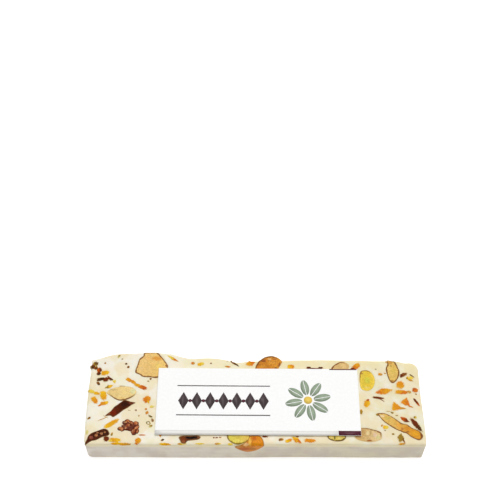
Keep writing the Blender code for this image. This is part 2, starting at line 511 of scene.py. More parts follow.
@dataclass(frozen=True)
class CutFinish:
    """The cut face of a nut or fruit: flesh that changes along it, patches, and a thin dark skin, which on the torn
    cluster is painted shade in its low crevices.
    """

    left: Colour
    right: Colour
    mottled: Colour
    skin: Colour
    reach: float = 5.0
    skin_width: float = 0.55
    skin_side: Colour = (0.0, 0.0, 0.0)
    skin_hold: float = 1.0
    inner: Colour | None = None
    patches: tuple[Patch, ...] = ()
    speckle: float = 0.35
    fleck: float = 0.14
    relief: float = 0.12
    stain: Colour = (240, 216, 166)
    gloss: Gloss = Gloss(0.42, 0.45, subsurface=0.12)

    def material(self, name: str) -> bpy.types.Material:
        """The finish as a material of this name."""
        made, graph = new_material(name)
        shader = self.gloss.shader(graph)
        at = graph.node("ShaderNodeTexCoord").outputs["Object"]
        place = graph.attribute("place")
        split = graph.node("ShaderNodeSeparateXYZ", {0: place})
        along = graph.spread(split.outputs["X"], -self.reach, self.reach)
        colour = graph.mix(along, paint(self.left), paint(self.right))
        mask = EFFECTS.place(graph, "mottle", {"Vector": at, "Size": 1.9, "Contrast": 0.16})
        share = graph.math("MULTIPLY", mask, self.speckle)
        colour = graph.mix(share, colour, paint(self.mottled))
        if self.inner:
            near = graph.spread(split.outputs["Z"], 0.25, 1.3, 0.85, 0.0)
            colour = graph.mix(near, colour, paint(self.inner))
        for patch in self.patches:
            inputs = {
                "Place": place,
                "Centre": (patch.x, patch.y, 0.0),
                "Stretch": (patch.across, patch.deep, 1.0),
                "Strength": patch.strength,
            }
            colour = graph.mix(EFFECTS.place(graph, "patch", inputs), colour, paint(patch.colour))
        fleck = graph.spread(graph.cloud(at, 1500.0, 3.0), 0.32, 0.68, 1.0 - self.fleck, 1.0 + self.fleck * 0.6)
        shade = graph.node("ShaderNodeCombineColor", {0: fleck, 1: fleck, 2: fleck}).outputs[0]
        colour = graph.mix(1.0, colour, shade, "MULTIPLY")
        line = {
            "Place": place,
            "Width": self.skin_width,
            "Side": self.skin_side,
            "Hold": self.skin_hold,
        }
        colour = graph.mix(EFFECTS.place(graph, "skin_line", line), colour, paint(self.skin))
        outer = graph.spread(split.outputs["Z"], -0.26, -0.05, 0.75, 0.0)
        colour = graph.mix(outer, colour, paint(self.stain))
        graph.feed(shader.inputs["Base Color"], colour)
        height = EFFECTS.place(graph, "grain", {"Vector": at, "Wave": 1.1, "Tooth": 0.25})
        bump(graph, shader, height, self.relief * MM)
        return made


@dataclass(frozen=True)
class ChipFinish:
    """The small chips: each runs between its own two tones and bleeds into the nougat at its rim."""

    gloss: Gloss = Gloss(0.42, 0.1, subsurface=0.06)
    bled: Colour = (244, 226, 180)
    relief: float = 0.1

    def material(self, name: str) -> bpy.types.Material:
        """The finish as a material of this name."""
        made, graph = new_material(name)
        shader = self.gloss.shader(graph)
        at = graph.node("ShaderNodeTexCoord").outputs["Object"]
        along = graph.node("ShaderNodeSeparateXYZ", {0: graph.attribute("along")})
        drift = graph.math("SUBTRACT", graph.cloud(at, 700.0, 2.0), 0.5)
        run = graph.math("ADD", along.outputs["X"], graph.math("MULTIPLY", drift, 1.6))
        tones = (graph.attribute("tone_from", "Color"), graph.attribute("tone_to", "Color"))
        colour = graph.mix(graph.spread(run, 0.25, 0.75), *tones)
        fleck = graph.spread(graph.cloud(at, 2200.0, 2.0), 0.35, 0.7, 0.82, 1.12)
        shade = graph.node("ShaderNodeCombineColor", {0: fleck, 1: fleck, 2: fleck}).outputs[0]
        colour = graph.mix(1.0, colour, shade, "MULTIPLY")
        torn = graph.math("SUBTRACT", graph.cloud(at, 1500.0, 3.0), 0.5)
        rim = graph.math("ADD", along.outputs["Z"], graph.math("MULTIPLY", torn, 0.9))
        colour = graph.mix(graph.spread(rim, 0.9, 1.2, 0.0, 0.85), colour, paint(self.bled))
        graph.feed(shader.inputs["Base Color"], colour)
        height = EFFECTS.place(graph, "grain", {"Vector": at, "Wave": 0.8, "Tooth": 0.25})
        bump(graph, shader, height, self.relief * MM)
        return made


@dataclass(frozen=True)
class PaperFinish:
    """Smooth coated card or ink: one colour with a faint fibre in it."""

    colour: Colour
    fibre: Colour
    gloss: Gloss = Gloss(0.5, 0.35)
    relief: float = 0.02

    def material(self, name: str) -> bpy.types.Material:
        """The finish as a material of this name."""
        made, graph = new_material(name)
        shader = self.gloss.shader(graph)
        at = graph.node("ShaderNodeTexCoord").outputs["Object"]
        mask = EFFECTS.place(graph, "mottle", {"Vector": at, "Size": 1.2, "Contrast": 0.25})
        colour = graph.mix(mask, paint(self.colour), paint(self.fibre))
        graph.feed(shader.inputs["Base Color"], colour)
        height = EFFECTS.place(graph, "grain", {"Vector": at, "Wave": 0.9, "Tooth": 0.2})
        bump(graph, shader, height, self.relief * MM)
        return made


# ---------------------------------------------------------------- meshes


def new_piece(name: str, mesh: bpy.types.Mesh, surface: bpy.types.Material) -> bpy.types.Object:
    """A mesh as an object of the scene, at the origin, smooth and in one finish.

    Args:
        name: the piece's name.
        mesh: its mesh.
        surface: its material.

    Returns:
        The object.
    """
    mesh.materials.clear()
    mesh.materials.append(surface)
    mesh.shade_smooth()
    made = bpy.data.objects.new(name, mesh)
    bpy.context.scene.collection.objects.link(made)
    return made


def hand_over(piece: bpy.types.Object, slot: str, *nodes: str) -> None:
    """Sets a finished piece on the bar and hides the solids that it replaces.

    Args:
        piece: the piece.
        slot: not used.
        *nodes: the solids that it stands for.
    """
    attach(piece, BODY)
    if nodes:
        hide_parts(*nodes)
    LOG.info("%s: %d faces", piece.name, len(piece.data.polygons))


def applied(obj: bpy.types.Object, name: str) -> bpy.types.Mesh:
    """The mesh that an object's modifiers make, and the object removed.

    Args:
        obj: the object with its modifiers.
        name: the new mesh's name.

    Returns:
        The plain mesh.
    """
    bpy.context.view_layer.update()
    graph = bpy.context.evaluated_depsgraph_get()
    made = bpy.data.meshes.new_from_object(obj.evaluated_get(graph))
    made.name = name
    bpy.data.objects.remove(obj)
    return made


def keep_vectors(mesh: bpy.types.Mesh, name: str, values: np.ndarray) -> None:
    """Stores one vector for each point of a mesh.

    Args:
        mesh: the mesh.
        name: the attribute's name.
        values: the vectors, one row a point.
    """
    made = mesh.attributes.new(name, "FLOAT_VECTOR", "POINT")
    made.data.foreach_set("vector", values.astype(np.float32).ravel())


def points_of(mesh: bpy.types.Mesh) -> np.ndarray:
    """The points of a mesh, one row each."""
    flat = np.empty(len(mesh.vertices) * 3, np.float32)
    mesh.vertices.foreach_get("co", flat)
    return flat.reshape(-1, 3).astype(float)


def normals_of(mesh: bpy.types.Mesh) -> np.ndarray:
    """The point normals of a mesh, one row each."""
    flat = np.empty(len(mesh.vertices) * 3, np.float32)
    mesh.vertices.foreach_get("normal", flat)
    return flat.reshape(-1, 3).astype(float)


def move_points(mesh: bpy.types.Mesh, points: np.ndarray) -> None:
    """Gives a mesh's points new places."""
    mesh.vertices.foreach_set("co", points.astype(np.float32).ravel())
    mesh.update()


def soft_loop(corners: tuple[Place, ...], count: int) -> np.ndarray:
    """A smooth closed line through a few corners.

    Args:
        corners: the corners, in order.
        count: how many points the line gets.

    Returns:
        The points, evenly spaced along it and anticlockwise, one row each.
    """
    held = np.array(corners, float)
    ahead = np.roll(held, -1, axis=0)
    if (held[:, 0] * ahead[:, 1] - held[:, 1] * ahead[:, 0]).sum() < 0:
        held = held[::-1]
    before, after, beyond = (np.roll(held, turn, axis=0) for turn in (1, -1, -2))
    shares = np.linspace(0, 1, 12, endpoint=False)[:, None]
    runs = []
    for p0, p1, p2, p3 in zip(before, held, after, beyond):
        curve = 2 * p1 + (p2 - p0) * shares + (2 * p0 - 5 * p1 + 4 * p2 - p3) * shares**2
        runs.append((curve + (3 * p1 - p0 - 3 * p2 + p3) * shares**3) / 2)
    line = np.vstack(runs)
    closed = np.vstack([line, line[:1]])
    lengths = np.concatenate([[0], np.cumsum(np.linalg.norm(np.diff(closed, axis=0), axis=1))])
    stops = np.linspace(0, lengths[-1], count, endpoint=False)
    return np.column_stack([np.interp(stops, lengths, closed[:, i]) for i in range(2)])


def distance_inside(points: np.ndarray, loop: np.ndarray) -> np.ndarray:
    """How far each point lies inside a closed line, negative outside it.

    Args:
        points: the points, one row each.
        loop: the line's points, one row each.

    Returns:
        One distance a point.
    """
    start, step = loop, np.roll(loop, -1, axis=0) - loop
    away = points[:, None, :] - start[None]
    share = (away * step).sum(2) / np.maximum((step**2).sum(1), 1e-12)
    gap = away - np.clip(share, 0, 1)[..., None] * step
    nearest = np.sqrt((gap**2).sum(2)).min(1)
    above = points[:, None, 1] >= start[None, :, 1]
    above_next = points[:, None, 1] >= np.roll(start[:, 1], -1)[None]
    side = step[:, 0] * away[..., 1] - step[:, 1] * away[..., 0]
    crossings = (~above_next & above & (side < 0)).sum(1) + (above_next & ~above & (side > 0)).sum(1)
    return np.where(crossings % 2 == 1, nearest, -nearest)


def ring_mesh(name: str, rings: list[np.ndarray]) -> bpy.types.Mesh:
    """A closed mesh through a stack of rings, the first and last of them shrunk to a point.

    Args:
        name: the mesh's name.
        rings: rings of one size each, from the top pole to the bottom pole; a pole has one row.

    Returns:
        The mesh, its faces outwards where the rings run anticlockwise seen from the top.
    """
    count = len(rings[1])
    points = np.vstack(rings)
    starts = np.cumsum([0] + [len(ring) for ring in rings])
    faces: list[tuple[int, ...]] = []
    last = len(rings) - 1
    for i in range(count):
        j = (i + 1) % count
        faces.append((0, starts[1] + i, starts[1] + j))
        for level in range(1, last - 1):
            upper, lower = starts[level], starts[level + 1]
            faces.append((upper + i, lower + i, lower + j, upper + j))
        faces.append((starts[last - 1] + i, starts[last], starts[last - 1] + j))
    made = bpy.data.meshes.new(name)
    made.from_pydata(points.tolist(), [], [tuple(int(k) for k in face) for face in faces])
    made.update()
    return made


def ripple(points: np.ndarray, size: float, seed: float = 0.0) -> np.ndarray:
    """Smooth noise from about -1 to 1 at each point.

    Args:
        points: the places, in metres.
        size: the length of its waves, in metres.
        seed: a shift that gives another pattern.

    Returns:
        One value a point.
    """
    shift = Vector((seed, 1.7 * seed, 2.3 * seed))
    return np.array([noise.noise(Vector(p) / size + shift) for p in points])


# ---------------------------------------------------------------- the bar


@dataclass(frozen=True)
class BarShape:
    """The bar's outline: broadest over its left third, and narrower beyond a shoulder."""

    length: float = 151 * MM
    height: float = 13.5 * MM
    broad: float = 46.9 * MM
    narrow: float = 42.8 * MM
    front_y: float = -23.6 * MM
    shoulder: float = -35.8 * MM
    shoulder_run: float = 3.5 * MM
    wave: float = 0.2 * MM
    wave_run: float = 14 * MM
    end_wave: float = 0.3 * MM
    end_run: float = 6 * MM
    rounding: float = 0.85 * MM
    foot_rounding: float = 0.4 * MM
    front_lean: float = 0.15 * MM
    corner_radii: tuple[float, ...] = (0.7 * MM, 4.2 * MM, 0.7 * MM, 2.6 * MM)
    swellings: tuple[tuple[float, float, float], ...] = (
        (-75 * MM, -3.3 * MM, 7.5 * MM),
        (-47 * MM, 0.4 * MM, 8 * MM),
        (-37 * MM, 0.8 * MM, 6 * MM),
        (-21 * MM, 1.6 * MM, 9 * MM),
        (-8 * MM, -1.0 * MM, 4 * MM),
        (30 * MM, 0.6 * MM, 16 * MM),
        (70 * MM, -1.2 * MM, 3 * MM),
    )

    def front(self, x: float) -> float:
        """Y of the front face at x."""
        return self.front_y + self.wave * (1 + math.sin(x / self.wave_run)) / 2

    def back(self, x: float) -> float:
        """Y of the back face at x."""
        share = 1 / (1 + math.exp((x - self.shoulder) / self.shoulder_run))
        width = self.narrow + (self.broad - self.narrow) * share
        width += sum(rise * math.exp(-(((x - at) / spread) ** 2)) for at, rise, spread in self.swellings)
        return self.front_y + width

    def end(self, y: float, side: int) -> float:
        """X of the right (side 1) or left (side -1) end face at y."""
        return side * (self.length / 2 - self.end_wave * (1 + math.sin(side + y / self.end_run)) / 2)

    def outline(self, step: float = 1.5 * MM) -> list[Place]:
        """The bar seen from above, anticlockwise from its front right corner.

        Args:
            step: the spacing of its points.

        Returns:
            The points.
        """
        arcs = []
        corners = ((1, self.front, -1), (1, self.back, 1), (-1, self.back, 1), (-1, self.front, -1))
        for turn, (radius, (side, edge, towards)) in enumerate(zip(self.corner_radii, corners)):
            x = self.end(edge(side * self.length / 2), side) - side * radius
            y = edge(x) - towards * radius
            bends = [math.pi / 2 * (turn - 1 + i / 8) for i in range(9)]
            arcs.append([(x + radius * math.cos(t), y + radius * math.sin(t)) for t in bends])
        line: list[Place] = []
        for number, arc in enumerate(arcs):
            line += arc
            start, stop = arc[-1], arcs[(number + 1) % 4][0]
            steps = max(2, round(math.dist(start, stop) / step))
            for i in range(1, steps):
                x, y = (a + (b - a) * i / steps for a, b in zip(start, stop))
                on_edge = ((self.end(y, 1), y), (x, self.back(x)), (self.end(y, -1), y), (x, self.front(x)))
                line.append(on_edge[number])
        return line

    def sag(self, places: np.ndarray) -> np.ndarray:
        """How far the rounded edge lies below the top at each place, seen from above.

        Args:
            places: places over the bar, one row each.

        Returns:
            One drop a place.
        """
        r = self.rounding
        over = r - np.clip(distance_inside(places, np.array(self.outline())), 0, r)
        return r - np.sqrt(r * r - over * over)

    def wrap(self, x: float, back: float, lift: float) -> tuple[Vector, Vector]:
        """A place on the skin of the bar, followed from its front top edge.

        Args:
            x: along the bar.
            back: how far over the top from the edge, or, where negative, down the front.
            lift: how far out of the skin.

        Returns:
            The place and the skin's outward direction there.
        """
        r, edge = self.rounding, self.front(x)
        arc = r - math.pi / 2 * r
        if back >= r:
            place, out = Vector((x, edge + back, self.height)), Vector((0, 0, 1))
        elif back > arc:
            turn = (r - back) / r
            out = Vector((0, -math.sin(turn), math.cos(turn)))
            place = Vector((x, edge + r, self.height - r)) + out * r
        else:
            place, out = Vector((x, edge, self.height - r + (back - arc))), Vector((0, -1, 0))
        return place + out * lift, out


@dataclass
class NougatBar:
    """The bar itself: a slab with rounded edges, softly uneven, dipping under each cut face."""

    shape: BarShape
    voxel: float = 0.52 * MM
    seat: float = 0.9 * MM
    calm: float = 1.1 * MM
    foot_draw: float = 0.5 * MM
    finish: NougatFinish = field(default_factory=NougatFinish)

    def build(self, seats: list[np.ndarray]) -> bpy.types.Object:
        """Makes the bar.

        Args:
            seats: the outlines of the cut faces that it dips under, seen from above.

        Returns:
            The finished piece.
        """
        mesh = self._slab()
        self._draw_in_foot(mesh)
        roughness = self._seat(mesh, seats)
        self._roughen(mesh, roughness)
        keep_vectors(mesh, "facing", normals_of(mesh))
        piece = new_piece("nougat_body", mesh, self.finish.material("nougat"))
        hand_over(piece, "nougat", "nougat")
        return piece

    def _slab(self) -> bpy.types.Mesh:
        """The outline raised to its height, its edges rounded, in an even mesh of small faces.

        Returns:
            The mesh.
        """
        bm = bmesh.new()
        base = bm.faces.new([bm.verts.new((x, y, 0)) for x, y in self.shape.outline()])
        raised = bmesh.ops.extrude_face_region(bm, geom=[base])
        tops = [part for part in raised["geom"] if isinstance(part, bmesh.types.BMVert)]
        bmesh.ops.translate(bm, vec=(0, 0, self.shape.height), verts=tops)
        bmesh.ops.recalc_face_normals(bm, faces=bm.faces)
        for level, width in ((self.shape.height, self.shape.rounding), (0.0, self.shape.foot_rounding)):
            rims = [e for e in bm.edges if all(abs(v.co.z - level) < 1e-6 for v in e.verts)]
            bmesh.ops.bevel(bm, geom=rims, offset=width, segments=5, profile=0.5, affect="EDGES")
        mesh = bpy.data.meshes.new("slab")
        bm.to_mesh(mesh)
        bm.free()
        rough = bpy.data.objects.new("slab", mesh)
        bpy.context.scene.collection.objects.link(rough)
        remesh = rough.modifiers.new("Even faces", "REMESH")
        remesh.mode = "VOXEL"
        remesh.voxel_size = self.voxel
        return applied(rough, "nougat_body")

    def _draw_in_foot(self, mesh: bpy.types.Mesh) -> None:
        """Draws the foot of the front and of both ends in, as where the bar shrank from its mould."""
        points = points_of(mesh)
        reach = np.clip((np.abs(points[:, 0]) / (self.shape.length / 2) - 0.8) / 0.2, 0, 1)
        low = np.clip(1 - points[:, 2] / self.shape.height, 0, 1)
        right = np.where(points[:, 0] > 0, 0.8, 0.3)
        points[:, 0] -= np.sign(points[:, 0]) * self.foot_draw * reach * low**1.3 * right
        fore = np.clip(1 - (points[:, 1] - self.shape.front_y) / (8 * MM), 0, 1)
        points[:, 1] += self.shape.front_lean * fore * low
        move_points(mesh, points)

    def _seat(self, mesh: bpy.types.Mesh, seats: list[np.ndarray]) -> np.ndarray:
        """Lowers the top under each cut face, so that bar and face meet flush at its rim.

        Args:
            mesh: the slab.
            seats: the outlines of the cut faces.

        Returns:
            How uneven each point may be, from 0 at a rim to 1.
        """
        points = points_of(mesh)
        free = np.ones(len(points))
        top = points[:, 2] > self.shape.height - 1.6 * MM
        for loop in seats:
            low, high = loop.min(0) - 3 * MM, loop.max(0) + 3 * MM
            near = top & (points[:, :2] > low).all(1) & (points[:, :2] < high).all(1)
            inside = distance_inside(points[near, :2], loop)
            sunk = np.clip((inside - 0.05 * MM) / (0.5 * MM), 0, 1)
            level = np.clip((points[near, 2] - self.shape.height) / MM + 1, 0, 1)
            points[near, 2] -= self.seat * sunk * level
            free[near] *= 1 - 0.9 * np.exp(-((np.minimum(inside, 0) / self.calm) ** 2))
        move_points(mesh, points)
        return free

    def _roughen(self, mesh: bpy.types.Mesh, free: np.ndarray) -> None:
        """Gives the skin its soft swells, dimples and fine pits.

        Args:
            mesh: the slab.
            free: how uneven each point may be.
        """
        points, normals = points_of(mesh), normals_of(mesh)
        upright = 1 - np.abs(normals[:, 2])
        swell = 0.10 * ripple(points, 11 * MM, 3.0) + 0.05 * ripple(points, 3.4 * MM, 9.0)
        drag = points * (0.22, 0.22, 1.0)
        side = 0.09 * ripple(drag, 1.9 * MM, 5.0)
        pits = np.minimum(ripple(points, 1.3 * MM, 21.0) + 0.42, 0) * 0.16
        lift = (swell + pits + side * upright) * free * MM
        lift = np.where(points[:, 2] < 0.6 * MM, np.minimum(lift, 0), lift)
        points += normals * lift[:, None]
        points[:, 2] = np.maximum(points[:, 2], 0)
        move_points(mesh, points)


# ---------------------------------------------------------------- nuts and fruit


@dataclass(frozen=True)
class Lump:
    """A soft rise (or, where height is negative, a hollow) on a cut face, in mm."""

    x: float
    y: float
    radius: float
    height: float

    def rise(self, places: np.ndarray) -> np.ndarray:
        """Its height at each place of the face."""
        away = np.hypot(places[:, 0] - self.x, places[:, 1] - self.y) / self.radius
        return self.height * np.exp(-(away**2))


@dataclass(frozen=True)
class Groove:
    """A crack or crease across a cut face, in mm."""

    start: Place
    stop: Place
    width: float
    depth: float

    def rise(self, places: np.ndarray) -> np.ndarray:
        """Its height at each place of the face, below zero."""
        start, run = np.array(self.start), np.array(self.stop) - np.array(self.start)
        share = np.clip(((places - start) @ run) / (run @ run), 0, 1)
        away = np.linalg.norm(places - start - share[:, None] * run, axis=1)
        return -self.depth * np.exp(-((away / self.width) ** 2))


@dataclass(frozen=True)
class Step:
    """A facet that leans away beyond a line, in mm: drop is its fall for each mm beyond it."""

    x: float
    y: float
    towards: Place
    drop: float
    limit: float = 0.5

    def rise(self, places: np.ndarray) -> np.ndarray:
        """Its height at each place of the face."""
        beyond = (places[:, 0] - self.x) * self.towards[0] + (places[:, 1] - self.y) * self.towards[1]
        return -np.minimum(np.maximum(beyond, 0) * self.drop, self.limit)


Form = Union[Lump, Groove, Step]


@dataclass
class Kernel:
    """A nut or a piece of fruit sunk in the bar and cut by the knife.

    place is its middle and outline its cut face round that, both in mm. depth is how far its body
    goes down, slope lifts the back of the face, in degrees, and wall is the highest y that it may
    reach. forms are the rises and creases of its face.
    """

    node: str
    slot: str
    place: Place
    depth: float
    outline: tuple[Place, ...]
    finish: CutFinish
    forms: tuple[Form, ...] = ()
    uneven: float = 0.06
    proud: float = 0.12
    slope: float = 0.0
    wall: float | None = None
    bulge: float = 1.0

    SIDES = 112
    APRON = 0.3
    FACE = (0.14, 0.28, 0.42, 0.55, 0.67, 0.77, 0.86, 0.93, 0.975)
    TURNS = (6, 14, 26, 40, 55, 70, 82)

    def loop(self) -> np.ndarray:
        """The outline of its cut face round its own middle, in metres, anticlockwise."""
        return soft_loop(self.outline, self.SIDES) * MM

    def seen(self) -> np.ndarray:
        """The outline of its cut face where it lies on the bar, in metres."""
        return self.loop() + np.array(self.place) * MM

    def build(self, shape: BarShape) -> bpy.types.Object:
        """Makes the kernel.

        Args:
            shape: the bar that it is sunk in.

        Returns:
            The finished piece.
        """
        loop = self.loop()
        faces = [loop[:1] * 0] + [loop * share for share in self.FACE] + [loop]
        flat = np.vstack(faces)
        inside = np.maximum(distance_inside(flat, loop), 0) / MM
        heights = self._heights(flat / MM, inside) * MM
        rings, places, row = [], [], 0
        wide = loop * (1 + self.APRON * MM / np.linalg.norm(loop, axis=1).mean())
        for ring in faces:
            rows = slice(row, row + len(ring))
            rings.append(self._stand(ring, heights[rows], shape))
            places.append(np.column_stack([ring / MM, inside[rows]]))
            row += len(ring)
        for drop in (0.02, -0.25):
            rings.append(self._stand(wide, np.full(len(wide), drop * MM), shape))
            places.append(np.column_stack([wide / MM, np.full(len(wide), -self.APRON)]))
        for turn in self.TURNS:
            share = math.cos(math.radians(turn)) ** (0.7 / self.bulge)
            ring = loop * share
            drop = -self.depth * MM * math.sin(math.radians(turn))
            rings.append(self._stand(ring, np.full(len(ring), drop), shape))
            places.append(np.column_stack([ring / MM, np.zeros(len(ring))]))
        rings.append(self._stand(loop[:1] * 0, np.full(1, -self.depth * MM), shape))
        places.append(np.zeros((1, 3)))
        mesh = ring_mesh(self.node, rings)
        keep_vectors(mesh, "place", np.vstack(places))
        piece = new_piece(self.node + "_cut", mesh, self.finish.material(self.node))
        hand_over(piece, self.slot, self.node)
        return piece

    def _heights(self, places: np.ndarray, inside: np.ndarray) -> np.ndarray:
        """How far each place of the cut face stands up.

        Args:
            places: places on the face, in mm from its middle.
            inside: how far inside its rim each lies, in mm.

        Returns:
            The heights, in mm.
        """
        spots = np.column_stack([places, np.full(len(places), self.place[0])])
        rise = self.uneven * ripple(spots, 1.5) + 0.5 * self.uneven * ripple(spots, 0.6, 4.0)
        for form in self.forms:
            rise = rise + form.rise(places)
        settle = 1 - np.exp(-inside / 0.35)
        return self.proud + rise * settle - 0.07 * (1 - settle)

    def _stand(self, ring: np.ndarray, heights: np.ndarray, shape: BarShape) -> np.ndarray:
        """Sets one ring of the mesh in its place in the bar.

        Args:
            ring: its points round the kernel's middle, in metres.
            heights: how far each stands above the top of the bar.
            shape: the bar.

        Returns:
            The points.
        """
        x, y = (ring[:, axis] + self.place[axis] * MM for axis in range(2))
        z = shape.height + heights + ring[:, 1] * math.tan(math.radians(self.slope))
        if self.wall is not None:
            y = np.minimum(y, self.wall * MM)
        if not self.slope and self.wall is None:
            z -= shape.sag(np.column_stack([x, y]))
        return np.column_stack([x, y, z])


@dataclass
class EdgeKernel(Kernel):
    """A kernel that lies over the front top edge: its outline follows the skin, over and down.

    Its outline's y is the way back over the top from the edge, and, where negative, down the front.
    """

    def _stand(self, ring: np.ndarray, heights: np.ndarray, shape: BarShape) -> np.ndarray:
        """Sets one ring of the mesh on the skin of the bar, or below it.

        Args:
            ring: its points round the kernel's middle, in metres.
            heights: how far each stands out of the skin.
            shape: the bar.

        Returns:
            The points.
        """
        made = []
        for (across, back), lift in zip(ring, heights):
            x, over = across + self.place[0] * MM, back + self.place[1] * MM
            skin, out = shape.wrap(x, over, 0)
            inward = (Vector((x, shape.front(x) + 4.5 * MM, shape.height - 6 * MM)) - skin).normalized()
            made.append(skin + (out * lift if lift > 0 else inward * -lift))
        return np.array(made)

    def seen(self) -> np.ndarray:
        """The outline of its part on the top of the bar, in metres."""
        loop = self.loop() + np.array(self.place) * MM
        loop[:, 1] = np.maximum(loop[:, 1], 0) + BarShape().front_y
        return loop


@dataclass
class Cluster:
    """A dried fruit torn into knobs: overlapping balls, joined and wrinkled."""

    node: str
    slot: str
    place: Place
    depth: float
    knobs: tuple[tuple[float, float, float, float], ...]
    finish: CutFinish
    voxel: float = 0.2 * MM

    def build(self, shape: BarShape) -> bpy.types.Object:
        """Makes the cluster.

        Args:
            shape: the bar that it is sunk in.

        Returns:
            The finished piece.
        """
        bm = bmesh.new()
        for number, (x, y, radius, lift) in enumerate(self.knobs):
            made = bmesh.ops.create_icosphere(bm, subdivisions=3, radius=radius * MM)
            stretch = 0.25 * math.cos(2.4 * number)
            bmesh.ops.scale(bm, vec=(1 + stretch, 1 - stretch, 1), verts=made["verts"])
            bmesh.ops.rotate(bm, matrix=Matrix.Rotation(1.7 * number, 3, "Z"), verts=made["verts"])
            for vert in made["verts"]:
                if vert.co.z < 0:
                    vert.co.z *= self.depth / 2 / radius
            place = ((self.place[0] + x) * MM, (self.place[1] + y) * MM)
            height = shape.height + (lift - radius) * MM
            bmesh.ops.translate(bm, vec=(*place, height), verts=made["verts"])
        mesh = bpy.data.meshes.new("knobs")
        bm.to_mesh(mesh)
        bm.free()
        rough = bpy.data.objects.new("knobs", mesh)
        bpy.context.scene.collection.objects.link(rough)
        remesh = rough.modifiers.new("Joined", "REMESH")
        remesh.mode = "VOXEL"
        remesh.voxel_size = self.voxel
        joined = applied(rough, self.node)
        points, normals = points_of(joined), normals_of(joined)
        wrinkle = 0.16 * ripple(points, 0.8 * MM, 2.0) + 0.09 * ripple(points, 0.4 * MM, 7.0)
        points += normals * wrinkle[:, None] * MM
        move_points(joined, points)
        # The height above the bar sets where the dark skin tone goes: the low crevices between the knobs get it as
        # painted shade.
        inside = np.maximum(points[:, 2] - shape.height, 0) / MM
        spots = np.column_stack([points[:, :2] / MM - np.array(self.place), inside * 1.6])
        keep_vectors(joined, "place", spots)
        piece = new_piece(self.node + "_torn", joined, self.finish.material(self.node))
        hand_over(piece, self.slot, self.node)
        return piece

    def seen(self) -> np.ndarray:
        """The rough outline that it covers, in metres."""
        turns = np.linspace(0, 2 * math.pi, 24, endpoint=False)
        spots = np.column_stack([3.2 * np.cos(turns), 1.8 * np.sin(turns)])
        return (spots + np.array(self.place)) * MM


# ---------------------------------------------------------------- the cut kernels

NUT_GLOSS = Gloss(0.5, 0.12, subsurface=0.08)
FRUIT_GLOSS = Gloss(0.36, 0.1, subsurface=0.08, depth=(2.0, 0.9, 0.3))
DARK_GLOSS = Gloss(0.4, 0.03)


